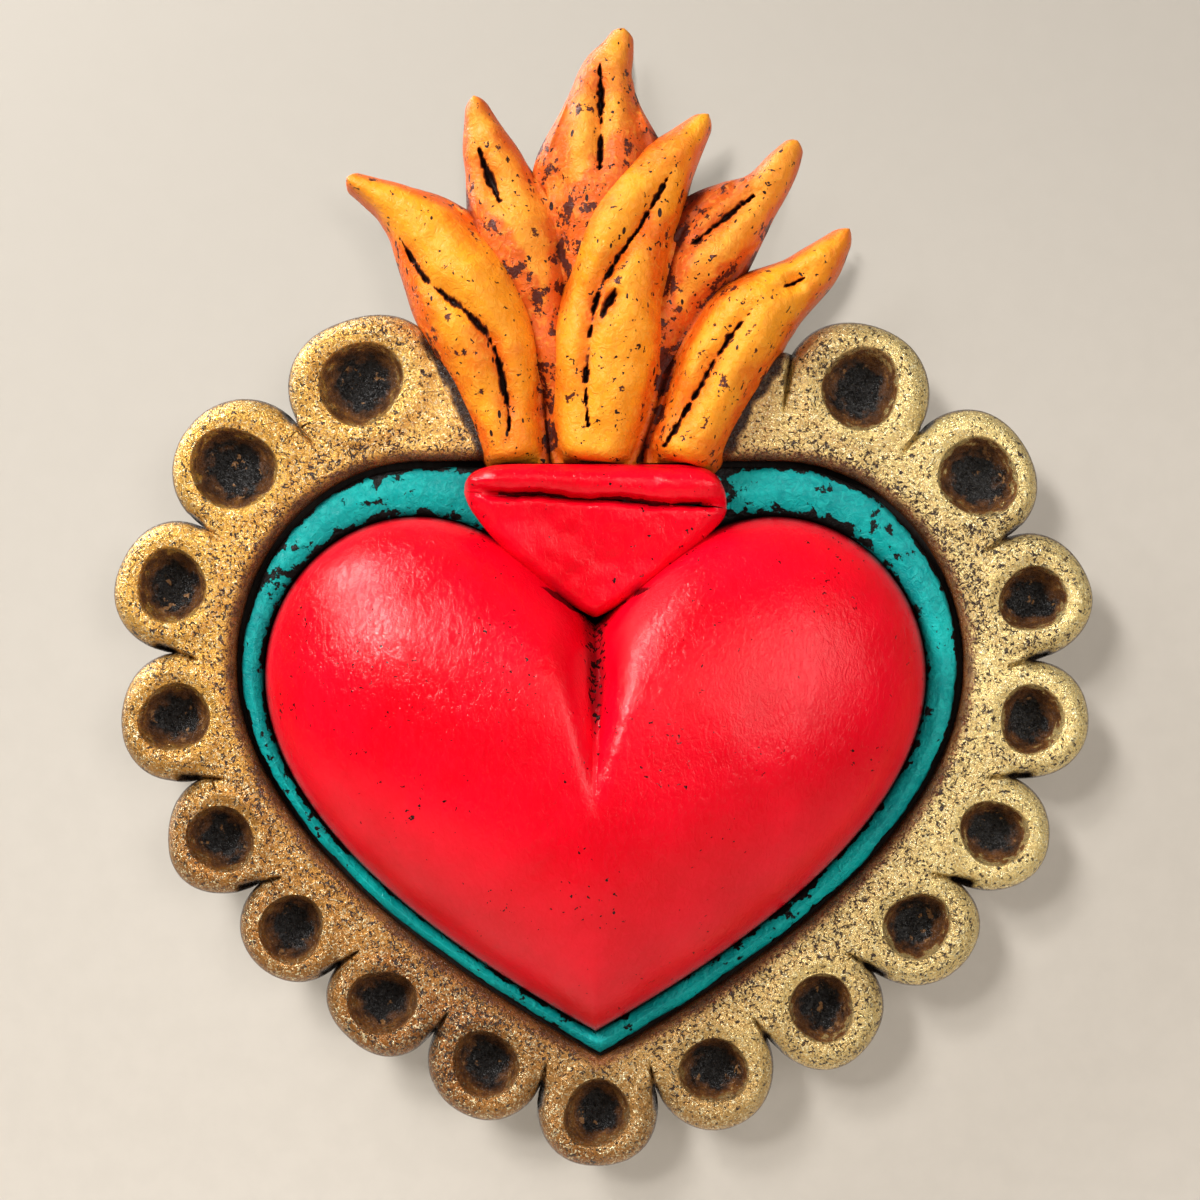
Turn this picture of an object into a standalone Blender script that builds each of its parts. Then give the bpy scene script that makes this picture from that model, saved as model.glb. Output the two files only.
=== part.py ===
"""Papier-mache sacred heart: a gilded scalloped wall ornament with a red heart, a collar and flames.

The ornament stands upright and faces -Y. The origin is on its back, which lies against the wall.
Depths are measured from the wall towards the viewer, so a depth d is at y = -d.
"""

import math

import bmesh
import bpy
from mathutils import Vector

MM = 0.001

# Heart outline
HEART_WIDTH = 131.9 * MM
HEART_HEIGHT = 102.6 * MM
HEART_TOP = 16.6 * MM
HEART_SHIFT = -0.9 * MM
LOBE_SPREAD = 71.0 * MM
NOTCH_DROP = 21.5 * MM
SHOULDER_DROP = 31.6 * MM
POLE_DROP = 54.6 * MM
FLANK_FULLNESS = 0.46
NOTCH_LEAD = Vector((0.34, 0.6))
CROWN_TRAIL = 0.36
QUARTER_ROUND = 0.55

# Heart relief
HEART_SKIRT = 4.0 * MM
HEART_RISE = 27.5 * MM
HEART_WALL = 4.0 * MM
DOME_POWER = 2.3
DOME_ROUND = 0.56

# Turquoise border and the groove outside it
BORDER_TOP = 9.0 * MM
BORDER_SIDE = 4.6 * MM
BORDER_TIP = 3.3 * MM
BORDER_THICK = 5.0 * MM
GROOVE = 2.2 * MM

# Gilded band: from the groove to the ring on which the scallops are centred
BAND_TOP = 17.2 * MM
BAND_SIDE = 12.4 * MM
BAND_TIP = 10.6 * MM
BAND_LIP = 3.6 * MM
BAND_FULLNESS = 0.61
BAND_THICK = 7.5 * MM

# Scallops, by bearing round the heart's pole, anticlockwise from the upper left
SCALLOPS = (
    ("scallop_left_1", 119.9),
    ("scallop_left_2", 138.3),
    ("scallop_left_3", 154.2),
    ("scallop_left_4", 170.1),
    ("scallop_left_5", 187.3),
    ("scallop_left_6", 204.4),
    ("scallop_left_7", 224.7),
    ("scallop_left_8", 248.1),
    ("scallop_bottom", 270.2),
    ("scallop_right_8", 293.0),
    ("scallop_right_7", 316.2),
    ("scallop_right_6", 337.2),
    ("scallop_right_5", 354.0),
    ("scallop_right_4", 9.3),
    ("scallop_right_3", 23.7),
    ("scallop_right_2", 39.3),
    ("scallop_right_1", 56.6),
)
SCALLOP_GAP = 1.7 * MM
SCALLOP_THICK = 8.5 * MM
SCALLOP_EDGE = 2.4 * MM
SCALLOP_SEAT_LIP = 1.6 * MM
DISH_RIM = 5.0 * MM
DISH_DEPTH = 4.2 * MM
DISH_SHIFT = 0.7 * MM

# Collar
COLLAR_WIDTH = 52.0 * MM
COLLAR_SHOULDER = 1.0 * MM
COLLAR_THICK = 11.0 * MM
COLLAR_RISE = 1.6 * MM
ROLL_RADIUS = 3.6 * MM
ROLL_SAG = 0.4 * MM
ROLL_STATIONS = (-1.0, -0.97, -0.88, -0.5, 0.0, 0.5, 0.88, 0.97, 1.0)
ROLL_SIDES = 14

# Flames: sideways, height above the collar and half width of each tongue's stations
FLAME_BACK = 12.0 * MM
FLAME_FRONT = 17.0 * MM
FLAME_STEPS = 3
FLAME_SECTION = 9
TONGUES = {
    "flame_front_left": ((-16.6, 0.0, 6.2), (-19.4, 11.8, 7.8), (-23.2, 23.8, 9.6), (-28.8, 35.8, 10.0),
                         (-35.0, 46.4, 7.4), (-40.0, 51.6, 5.0), (-45.2, 54.6, 3.0), (-50.2, 56.6, 1.2)),
    "flame_front_centre": ((-1.8, 0.0, 8.4), (0.0, 12.8, 10.8), (1.6, 23.8, 11.8), (3.0, 34.8, 10.8),
                           (4.8, 44.8, 10.6), (8.4, 52.2, 9.4), (12.4, 58.4, 7.0), (16.8, 63.8, 4.2),
                           (21.8, 69.8, 1.2)),
    "flame_front_right": ((16.2, 0.0, 7.4), (18.6, 6.8, 8.0), (21.8, 14.2, 8.6), (25.4, 21.4, 9.4),
                          (29.6, 28.0, 9.2), (34.4, 32.4, 7.6), (40.0, 36.4, 5.6), (44.4, 40.4, 4.2),
                          (49.6, 46.6, 1.2)),
    "flame_rear_left": ((-11.0, 26.8, 6.0), (-14.0, 35.8, 8.0), (-17.0, 44.8, 9.2), (-19.2, 52.8, 7.6),
                        (-21.0, 59.2, 6.0), (-23.0, 64.8, 4.6), (-25.2, 73.4, 1.2)),
    "flame_rear_centre": ((0.0, 32.8, 8.0), (0.0, 42.8, 10.0), (0.2, 52.8, 10.8), (0.4, 60.8, 10.4),
                          (0.6, 72.2, 7.4), (1.4, 78.2, 5.6), (3.4, 82.8, 3.4), (5.2, 86.6, 1.2)),
    "flame_rear_right": ((16.0, 32.8, 5.0), (20.0, 39.2, 7.2), (24.4, 45.8, 7.4), (29.0, 51.0, 6.0),
                         (33.2, 55.2, 4.6), (36.6, 60.0, 3.2), (39.4, 64.4, 1.2)),
}

# Boards, from the wall forwards, with the discs of their tab behind the flames as sideways, height and radius
LINING_THICK = 0.5 * MM
BACK_PLY = 4.0 * MM
CORE_PLY = 3.0 * MM
BOARD_INSET = 1.2 * MM
FLAME_TABS = ((-20.0, 26.0, 15.0), (2.0, 40.0, 16.0), (22.0, 22.0, 15.0), (-10.0, 10.0, 18.0),
              (12.0, 8.0, 18.0))

# Hanger in the window of the back board
HANGER_HEIGHT = 14.0 * MM
WINDOW_WIDTH = 22.0 * MM
WINDOW_HEIGHT = 40.0 * MM
WINDOW_CORNER = 4.0 * MM
RING_WIRE = 0.9 * MM
RING_WIDTH = 14.0 * MM
RING_HEIGHT = 13.0 * MM
RING_CORNER = 1.6 * MM
STRAP_WIDTH = 9.0 * MM
STRAP_LENGTH = 19.0 * MM
STRAP_SHEET = 0.8 * MM
TACK_RADIUS = 0.8 * MM
TACK_HEAD_RADIUS = 1.9 * MM
TACK_HEAD_THICK = 0.8 * MM
TACK_SPACING = 7.5 * MM
TACK_EDGE = 3.0 * MM

# Clearances
GLUE = 0.3 * MM
RUNNING_GAP = 0.3 * MM

# Fineness of the curves
OUTLINE_STEPS = 24
BEARING_STEP = 5.0
BOARD_BEARING_STEP = 2.0
DOME_RINGS = (1.0, 0.965, 0.9, 0.8, 0.66, 0.48, 0.26)
SCALLOP_SIDES = 24
TACK_SIDES = 12

# Levels and centres that follow from the sizes above
HEART_TIP = HEART_TOP - HEART_HEIGHT
POLE = Vector((HEART_SHIFT, HEART_TOP - POLE_DROP))
BACK_LEVEL = LINING_THICK + GLUE
CORE_LEVEL = BACK_LEVEL + BACK_PLY + GLUE
SEAT_LEVEL = CORE_LEVEL + CORE_PLY + GLUE
COLLAR_LEVEL = SEAT_LEVEL + BORDER_THICK + GLUE
BORDER_CROWN = HEART_TOP + BORDER_TOP
FLAME_FOOT = BORDER_CROWN + COLLAR_RISE
ROLL_HEIGHT = FLAME_FOOT - GLUE - ROLL_RADIUS
HINGE_HEIGHT = FLAME_FOOT + HANGER_HEIGHT
KNUCKLE_RADIUS = RING_WIRE + RUNNING_GAP + STRAP_SHEET
HINGE_DEPTH = CORE_LEVEL - GLUE - KNUCKLE_RADIUS


def bezier(start, lead, trail, end):
    """Points along a cubic curve, without its last one."""
    points = []
    for i in range(OUTLINE_STEPS):
        t = i / OUTLINE_STEPS
        s = 1.0 - t
        points.append(start * s ** 3 + lead * 3 * s * s * t + trail * 3 * s * t * t + end * t ** 3)
    return points


def heart_half(reach, top, dip, shoulder, tip, lobe, fullness):
    """The right half of a heart, from its notch over the lobe to the tip, about x = 0."""
    notch = Vector((0.0, top - dip))
    crown = Vector((lobe, top))
    side = Vector((reach, shoulder))
    point = Vector((0.0, tip))
    drop = shoulder - tip
    lobe_part = bezier(notch, notch + Vector((NOTCH_LEAD.x * lobe, NOTCH_LEAD.y * dip)),
                       crown - Vector((CROWN_TRAIL * lobe, 0.0)), crown)
    shoulder_part = bezier(crown, crown + Vector((QUARTER_ROUND * (reach - lobe), 0.0)),
                           side + Vector((0.0, QUARTER_ROUND * (top - shoulder))), side)
    flank_part = bezier(side, side - Vector((0.0, (0.2 + 0.45 * fullness) * drop)),
                        point + Vector((fullness * reach, 0.24 * drop)), point)
    return lobe_part + shoulder_part + flank_part + [point]


def heart_outline(reach, top, dip, shoulder, tip, lobe, shift=0.0, fullness=FLANK_FULLNESS):
    """A closed heart, clockwise from the notch."""
    right = heart_half(reach, top, dip, shoulder, tip, lobe, fullness)
    left = [Vector((-p.x, p.y)) for p in reversed(right[1:-1])]
    return [p + Vector((shift, 0.0)) for p in right + left]


def red_outline(grow=0.0):
    """The outline of the red heart, grown outwards by a margin."""
    return heart_outline(HEART_WIDTH / 2 + grow, HEART_TOP + grow, NOTCH_DROP, HEART_TOP - SHOULDER_DROP,
                         HEART_TIP - grow, LOBE_SPREAD / 2, HEART_SHIFT)


def frame_outline(top, side, tip, fullness=FLANK_FULLNESS):
    """An outline round the heart without a notch, at margins from the red heart."""
    return heart_outline(HEART_WIDTH / 2 + side, HEART_TOP + top, 0.0, HEART_TOP - SHOULDER_DROP + 0.3 * side,
                         HEART_TIP - tip, LOBE_SPREAD / 2, 0.0, fullness)


def border_outline():
    return frame_outline(BORDER_TOP, BORDER_SIDE, BORDER_TIP)


def opening_outline():
    return frame_outline(BORDER_TOP + GROOVE, BORDER_SIDE + GROOVE, BORDER_TIP + GROOVE)


def band_outline(lip):
    """The outline at a distance inside the ring of scallop centres."""
    return frame_outline(BORDER_TOP + GROOVE + BAND_TOP - lip, BORDER_SIDE + GROOVE + BAND_SIDE - lip,
                         BORDER_TIP + GROOVE + BAND_TIP - lip, BAND_FULLNESS)


def bearing_vector(bearing):
    angle = math.radians(bearing)
    return Vector((math.cos(angle), math.sin(angle)))


def reach_along(outline, bearing):
    """How far a ray from the pole runs before it leaves an outline."""
    ray = bearing_vector(bearing)
    reach = 0.0
    for a, b in zip(outline, outline[1:] + outline[:1]):
        p = a - POLE
        q = b - POLE
        side_p = ray.x * p.y - ray.y * p.x
        side_q = ray.x * q.y - ray.y * q.x
        if (side_p <= 0.0) != (side_q <= 0.0):
            crossing = p + (q - p) * (side_p / (side_p - side_q))
            reach = max(reach, crossing.dot(ray))
    return reach


def first_crossing(start, ray, outline):
    """How far a ray from outside an outline runs before it meets it."""
    nearest = math.inf
    for a, b in zip(outline, outline[1:] + outline[:1]):
        p = a - start
        q = b - start
        side_p = ray.x * p.y - ray.y * p.x
        side_q = ray.x * q.y - ray.y * q.x
        if (side_p <= 0.0) != (side_q <= 0.0):
            along = (p + (q - p) * (side_p / (side_p - side_q))).dot(ray)
            if along > 0.0:
                nearest = min(nearest, along)
    return nearest


def reach_over_disc(centre, radius, bearing):
    """How far a ray from the pole runs before it leaves a disc, or 0 if it misses it."""
    ray = bearing_vector(bearing)
    offset = centre - POLE
    along = offset.dot(ray)
    across = ray.x * offset.y - ray.y * offset.x
    if along <= 0.0 or abs(across) >= radius:
        return 0.0
    return along + math.sqrt(radius ** 2 - across ** 2)


def round_bearings(step):
    return [90.0 + i * step for i in range(round(360.0 / step))]


def sampled(outline, step=BEARING_STEP):
    """An outline as points at equal bearings round the pole, anticlockwise."""
    return [POLE + bearing_vector(b) * reach_along(outline, b) for b in round_bearings(step)]


def at_depth(point, depth):
    """A place on the front view, at a depth from the wall."""
    return Vector((point.x, -depth, point.y))


def finish(name, mesh_builder, material, origin=Vector((0.0, 0.0, 0.0)), smooth_angle=40.0):
    """An object of this name from a bmesh whose vertices are in world places."""
    bmesh.ops.recalc_face_normals(mesh_builder, faces=mesh_builder.faces)
    bmesh.ops.translate(mesh_builder, verts=mesh_builder.verts, vec=-origin)
    mesh = bpy.data.meshes.new(name)
    mesh_builder.to_mesh(mesh)
    mesh_builder.free()
    mesh.shade_smooth()
    mesh.set_sharp_from_angle(angle=math.radians(smooth_angle))
    mesh.materials.append(material)
    item = bpy.data.objects.new(name, mesh)
    item.location = origin
    bpy.context.collection.objects.link(item)
    return item


def loop_of(mesh_builder, points):
    return [mesh_builder.verts.new(p) for p in points]


def bridge(mesh_builder, first, second):
    """Faces between two closed loops of the same length."""
    count = len(first)
    for i in range(count):
        j = (i + 1) % count
        mesh_builder.faces.new((first[i], first[j], second[j], second[i]))


def fan(mesh_builder, loop, centre):
    for i in range(len(loop)):
        mesh_builder.faces.new((loop[i - 1], loop[i], centre))


def add_prism(mesh_builder, outline, low, high):
    """A plate of this outline between two depths."""
    back = loop_of(mesh_builder, [at_depth(p, low) for p in outline])
    front = loop_of(mesh_builder, [at_depth(p, high) for p in outline])
    bridge(mesh_builder, back, front)
    mesh_builder.faces.new(back)
    mesh_builder.faces.new(front)


def prism(name, outline, low, high, material):
    mesh_builder = bmesh.new()
    add_prism(mesh_builder, outline, low, high)
    return finish(name, mesh_builder, material)


def ring_plate(name, outer, inner, low, high, material):
    """A plate between two outlines that are sampled at the same bearings."""
    mesh_builder = bmesh.new()
    loops = [loop_of(mesh_builder, [at_depth(p, depth) for p in outline])
             for outline, depth in ((outer, low), (outer, high), (inner, high), (inner, low))]
    for first, second in zip(loops, loops[1:] + loops[:1]):
        bridge(mesh_builder, first, second)
    return finish(name, mesh_builder, material)


def cut(item, cutter):
    """Take a cutter out of an object."""
    modifier = item.modifiers.new("cut_" + cutter.name, "BOOLEAN")
    modifier.operation = "DIFFERENCE"
    modifier.solver = "EXACT"
    modifier.object = cutter


def as_cutter(item):
    item.hide_render = True
    item.display_type = "WIRE"
    return item


def material(name, colour, roughness, metallic=0.0):
    made = bpy.data.materials.new(name)
    made.use_nodes = True
    shader = made.node_tree.nodes["Principled BSDF"]
    shader.inputs["Base Color"].default_value = (*colour, 1.0)
    shader.inputs["Roughness"].default_value = roughness
    shader.inputs["Metallic"].default_value = metallic
    return made


def scallop_places():
    """Centre, radius and dish radius of each scallop, from its place between its neighbours."""
    ring = band_outline(0.0)
    centres = [POLE + bearing_vector(b) * reach_along(ring, b) for _, b in SCALLOPS]
    steps = [(b - a).length for a, b in zip(centres, centres[1:])]
    radii = [(before + after) / 4 - SCALLOP_GAP / 2 for before, after in zip(steps, steps[1:])]
    radii = radii[:1] + radii + radii[-1:]
    return [(centre, radius, radius - DISH_RIM) for centre, radius in zip(centres, radii)]


def scallop_outline(place, neighbours, band):
    """A scallop from the front: round, flattened against its neighbours and let into the band."""
    centre, radius, dish = place
    seat = dish + SCALLOP_SEAT_LIP
    points = []
    for i in range(SCALLOP_SIDES):
        ray = bearing_vector(360.0 * i / SCALLOP_SIDES)
        into_band = first_crossing(centre, ray, band)
        limit = min(radius, max(into_band - GLUE, seat))
        for other, other_radius, _ in neighbours:
            between = other - centre
            apart = between.length
            halfway = (apart ** 2 + radius ** 2 - other_radius ** 2) / (2 * apart) - GLUE / 2
            towards = ray.dot(between) / apart
            if towards * limit > halfway:
                limit = halfway / towards
        points.append(centre + ray * limit)
    return points


def scallop_outlines():
    """The outline of every scallop, in the order of their names."""
    places = scallop_places()
    band = band_outline(BAND_LIP)
    outlines = []
    for i, place in enumerate(places):
        neighbours = places[max(0, i - 1):i] + places[i + 1:i + 2]
        outlines.append(scallop_outline(place, neighbours, band))
    return outlines


def board_outline(inset):
    """The outline shared by the boards: scallops, band and the tab behind the flames."""
    discs = [(centre, radius - inset) for centre, radius, _ in scallop_places()]
    discs += [(Vector((x * MM, FLAME_FOOT + z * MM)), radius * MM - inset) for x, z, radius in FLAME_TABS]
    plate = band_outline(BAND_LIP + inset)
    points = []
    for bearing in round_bearings(BOARD_BEARING_STEP):
        reach = reach_along(plate, bearing)
        for centre, radius in discs:
            reach = max(reach, reach_over_disc(centre, radius, bearing))
        points.append(POLE + bearing_vector(bearing) * reach)
    return points


def window_outline():
    """The rounded window of the hanger, round the hinge of the ring."""
    half_width = WINDOW_WIDTH / 2 - WINDOW_CORNER
    half_height = WINDOW_HEIGHT / 2 - WINDOW_CORNER
    corners = ((1, 1, 0), (-1, 1, 90), (-1, -1, 180), (1, -1, 270))
    points = []
    for sign_x, sign_z, start in corners:
        corner = Vector((sign_x * half_width, HINGE_HEIGHT + sign_z * half_height))
        points += [corner + bearing_vector(start + turn) * WINDOW_CORNER for turn in (0, 30, 60, 90)]
    return points


def boards(lining_paper, card):
    """Lining, back board with its window, and the core board that carries the front."""
    inset = board_outline(BOARD_INSET)
    window = as_cutter(prism("window_cutter", window_outline(), -2 * GLUE, CORE_LEVEL - GLUE / 2, card))
    lining = prism("back_lining", inset, 0.0, LINING_THICK, lining_paper)
    back = prism("back_board", inset, BACK_LEVEL, BACK_LEVEL + BACK_PLY, card)
    core = prism("core_board", inset, CORE_LEVEL, CORE_LEVEL + CORE_PLY, card)
    cut(lining, window)
    cut(back, window)
    return core


def tack_heights():
    lowest = HINGE_HEIGHT - STRAP_LENGTH + TACK_EDGE
    return (lowest, lowest + TACK_SPACING)


def knuckle_profile():
    """The strap from the side, as depth and height: a flat tail that curls round the ring's bar."""
    tail_depth = CORE_LEVEL - GLUE
    tail_foot = HINGE_HEIGHT - STRAP_LENGTH
    inner_radius = KNUCKLE_RADIUS - STRAP_SHEET
    curl = [90.0 - turn for turn in range(0, 316, 15)]
    centre = Vector((HINGE_DEPTH, HINGE_HEIGHT))
    turned = [Vector((math.sin(math.radians(a)), math.cos(math.radians(a)))) for a in curl]
    outer = [centre + t * KNUCKLE_RADIUS for t in turned]
    inner = [centre + t * inner_radius for t in turned]
    outside = [Vector((tail_depth, tail_foot))] + outer
    inside = inner[::-1] + [Vector((tail_depth - STRAP_SHEET, tail_foot))]
    return outside + inside


def hanger_strap(brass):
    profile = knuckle_profile()
    mesh_builder = bmesh.new()
    left = loop_of(mesh_builder, [Vector((-STRAP_WIDTH / 2, -p.x, p.y)) for p in profile])
    right = loop_of(mesh_builder, [Vector((STRAP_WIDTH / 2, -p.x, p.y)) for p in profile])
    bridge(mesh_builder, left, right)
    mesh_builder.faces.new(left)
    mesh_builder.faces.new(right)
    return finish("hanger_strap", mesh_builder, brass)


def lathe(mesh_builder, axis_point, stations, sides):
    """A closed turned body along the depth, from stations of radius and depth with closed ends."""
    loops = []
    for radius, depth in stations:
        ring = [axis_point + bearing_vector(360.0 * i / sides) * radius for i in range(sides)]
        loops.append(loop_of(mesh_builder, [at_depth(p, depth) for p in ring]))
    for first, second in zip(loops, loops[1:]):
        bridge(mesh_builder, first, second)
    for loop, (_, depth) in ((loops[0], stations[0]), (loops[-1], stations[-1])):
        fan(mesh_builder, loop, mesh_builder.verts.new(at_depth(axis_point, depth)))


def hanger_tacks(strap, core, steel):
    """Two tacks through the strap into the core board, and their holes."""
    holes = bmesh.new()
    under_head = CORE_LEVEL - GLUE - STRAP_SHEET - GLUE
    shank_end = CORE_LEVEL + CORE_PLY - GLUE
    hole = TACK_RADIUS + GLUE
    for name, height in zip(("hanger_tack_lower", "hanger_tack_upper"), tack_heights()):
        place = Vector((0.0, height))
        stations = ((0.6 * TACK_HEAD_RADIUS, under_head - TACK_HEAD_THICK),
                    (TACK_HEAD_RADIUS, under_head - GLUE), (TACK_HEAD_RADIUS, under_head),
                    (TACK_RADIUS, under_head), (TACK_RADIUS, shank_end))
        mesh_builder = bmesh.new()
        lathe(mesh_builder, place, stations, TACK_SIDES)
        finish(name, mesh_builder, steel)
        lathe(holes, place, ((hole, under_head - GLUE), (hole, SEAT_LEVEL)), TACK_SIDES)
    cutter = as_cutter(finish("tack_hole_cutter", holes, steel))
    cut(strap, cutter)
    cut(core, cutter)


def hanging_ring(brass):
    """A wire ring with a straight bar on the hinge axis, and an arch that points up."""
    hinge = bpy.data.objects.new("ring_hinge", None)
    hinge.location = at_depth(Vector((0.0, HINGE_HEIGHT)), HINGE_DEPTH)
    bpy.context.collection.objects.link(hinge)
    half = RING_WIDTH / 2 - RING_WIRE
    rise = RING_HEIGHT - RING_WIRE
    corner = RING_CORNER
    arch = [Vector((half * math.cos(math.radians(a)), rise - half + half * math.sin(math.radians(a))))
            for a in range(0, 181, 15)]
    foot_right = [Vector((half - corner, 0.0)), Vector((half - 0.3 * corner, 0.3 * corner)),
                  Vector((half, corner))]
    foot_left = [Vector((-p.x, p.y)) for p in reversed(foot_right)]
    route = foot_right + arch + foot_left
    curve = bpy.data.curves.new("hanging_ring", "CURVE")
    curve.dimensions = "3D"
    curve.bevel_depth = RING_WIRE
    curve.bevel_resolution = 2
    spline = curve.splines.new("POLY")
    spline.points.add(len(route) - 1)
    for point, place in zip(spline.points, route):
        point.co = (place.x, 0.0, place.y, 1.0)
    spline.use_cyclic_u = True
    curve.materials.append(brass)
    ring = bpy.data.objects.new("hanging_ring", curve)
    ring.parent = hinge
    bpy.context.collection.objects.link(ring)
    return ring


def dome_loops(mesh_builder, outline, low, skirt, rise):
    """Loops of the bulging heart from its foot to near its pole, with the last vertex at the pole."""
    loops = [loop_of(mesh_builder, [at_depth(p, low) for p in outline])]
    for share in DOME_RINGS:
        height = skirt + rise * (1.0 - share ** DOME_POWER) ** DOME_ROUND
        ring = [POLE + (p - POLE) * share for p in outline]
        loops.append(loop_of(mesh_builder, [at_depth(p, low + height) for p in ring]))
    pole = mesh_builder.verts.new(at_depth(POLE, low + skirt + rise))
    for first, second in zip(loops, loops[1:]):
        bridge(mesh_builder, first, second)
    fan(mesh_builder, loops[-1], pole)
    return loops


def heart_shell(red):
    """The hollow red heart, open at the back."""
    mesh_builder = bmesh.new()
    outer = dome_loops(mesh_builder, sampled(red_outline()), SEAT_LEVEL, HEART_SKIRT, HEART_RISE)
    inner = dome_loops(mesh_builder, sampled(red_outline(-HEART_WALL)), SEAT_LEVEL, HEART_SKIRT,
                       HEART_RISE - HEART_WALL)
    bridge(mesh_builder, outer[0], inner[0])
    return finish("heart_shell", mesh_builder, red)


def heart_core(newsprint):
    """The wad of paper inside the shell."""
    mesh_builder = bmesh.new()
    loops = dome_loops(mesh_builder, sampled(red_outline(-HEART_WALL - 2 * GLUE)), SEAT_LEVEL,
                       HEART_SKIRT - GLUE, HEART_RISE - HEART_WALL - GLUE)
    mesh_builder.faces.new(loops[0])
    return finish("heart_core", mesh_builder, newsprint)


def heart_cutter(red):
    """The red heart grown by the glue gap, from behind its seat."""
    mesh_builder = bmesh.new()
    loops = dome_loops(mesh_builder, sampled(red_outline(2 * GLUE)), SEAT_LEVEL - GLUE, HEART_SKIRT + GLUE,
                       HEART_RISE + 2 * GLUE)
    mesh_builder.faces.new(loops[0])
    return as_cutter(finish("heart_cutter", mesh_builder, red))


def turquoise_border(turquoise):
    return ring_plate("turquoise_border", sampled(border_outline()), sampled(red_outline(GLUE)), SEAT_LEVEL,
                      SEAT_LEVEL + BORDER_THICK, turquoise)


def scallop(name, place, outline, gold):
    """A pulp pellet with a rounded rim and a dish pressed into it."""
    centre, _, dish = place
    outward = (centre - POLE).normalized()
    middle = centre + outward * DISH_SHIFT
    low = SEAT_LEVEL
    high = SEAT_LEVEL + SCALLOP_THICK
    mesh_builder = bmesh.new()
    loops = []
    for inset, depth in ((0.0, low), (0.0, high - SCALLOP_EDGE),
                         (0.3 * SCALLOP_EDGE, high - 0.3 * SCALLOP_EDGE), (SCALLOP_EDGE, high)):
        ring = [centre + (p - centre) * (1.0 - inset / (p - centre).length) for p in outline]
        if inset == SCALLOP_EDGE:
            ring = [middle + (p - middle).normalized() * max(dish, (p - middle).length) for p in ring]
        loops.append(loop_of(mesh_builder, [at_depth(p, depth) for p in ring]))
    turns = [bearing_vector(360.0 * i / SCALLOP_SIDES) for i in range(SCALLOP_SIDES)]
    for share, fall in ((0.96, 0.2), (0.75, 0.65), (0.4, 0.93)):
        ring = [middle + turn * dish * share for turn in turns]
        loops.append(loop_of(mesh_builder, [at_depth(p, high - fall * DISH_DEPTH) for p in ring]))
    for first, second in zip(loops, loops[1:]):
        bridge(mesh_builder, first, second)
    mesh_builder.faces.new(loops[0])
    fan(mesh_builder, loops[-1], mesh_builder.verts.new(at_depth(middle, high - DISH_DEPTH)))
    return finish(name, mesh_builder, gold)


def grown(outline, centre, margin):
    return [p + (p - centre).normalized() * margin for p in outline]


def scallops(gold):
    """All scallops, and two cutters for their seats in the band, every second scallop in each."""
    places = scallop_places()
    outlines = scallop_outlines()
    made = []
    for (name, _), place, outline in zip(SCALLOPS, places, outlines):
        made.append(scallop(name, place, outline, gold))
    seat_cutters = []
    for first, name in enumerate(("even_seats_cutter", "odd_seats_cutter")):
        seats = bmesh.new()
        for (centre, _, _), outline in list(zip(places, outlines))[first::2]:
            add_prism(seats, grown(outline, centre, GLUE), SEAT_LEVEL - GLUE, SEAT_LEVEL + SCALLOP_THICK)
        seat_cutters.append(as_cutter(finish(name, seats, gold)))
    return made, seat_cutters


def rim_band(seat_cutters, gold):
    """The gilded band between the groove and the scallops."""
    band = ring_plate("rim_band", sampled(band_outline(BAND_LIP), 3.0), sampled(opening_outline(), 3.0),
                      SEAT_LEVEL, SEAT_LEVEL + BAND_THICK, gold)
    for cutter in seat_cutters:
        cut(band, cutter)
    return band


def tongue_stations(name):
    """Smoothed middle line and half widths of a flame."""
    rows = [Vector(row) * MM for row in TONGUES[name]]
    padded = [2 * rows[0] - rows[1]] + rows + [2 * rows[-1] - rows[-2]]
    smooth = []
    for a, b, c, d in zip(padded, padded[1:], padded[2:], padded[3:]):
        for i in range(FLAME_STEPS):
            t = i / FLAME_STEPS
            smooth.append(0.5 * (2 * b + (c - a) * t + (2 * a - 5 * b + 4 * c - d) * t * t
                                 + (3 * b - a - 3 * c + d) * t ** 3))
    return smooth + [rows[-1]]


def tongue(name, thick, grow, material_made):
    """A flame with a flat back and an arched front, grown outwards by a margin."""
    stations = tongue_stations(name)
    widest = max(s.z for s in stations)
    mesh_builder = bmesh.new()
    loops = []
    for i, station in enumerate(stations):
        ahead = stations[min(i + 1, len(stations) - 1)]
        behind = stations[max(i - 1, 0)]
        along = Vector((ahead.x - behind.x, ahead.y - behind.y)).normalized()
        stands_on_collar = station.y == 0.0
        across = Vector((1.0, 0.0)) if stands_on_collar else Vector((along.y, -along.x))
        middle = Vector((station.x, FLAME_FOOT + station.y))
        if grow and i in (0, len(stations) - 1):
            middle += along * (grow if i else -grow)
        half = station.z + grow
        arch = thick * (0.35 + 0.65 * min(1.0, station.z / widest)) + grow
        section = []
        for step in range(FLAME_SECTION):
            turn = math.pi * step / (FLAME_SECTION - 1)
            place = middle + across * (-half * math.cos(turn))
            section.append(at_depth(place, SEAT_LEVEL - grow + (arch + grow) * math.sin(turn) ** 0.8))
        loops.append(loop_of(mesh_builder, section))
    for first, second in zip(loops, loops[1:]):
        bridge(mesh_builder, first, second)
    mesh_builder.faces.new(loops[0])
    mesh_builder.faces.new(loops[-1])
    return finish(name if not grow else name + "_cutter", mesh_builder, material_made)


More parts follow.
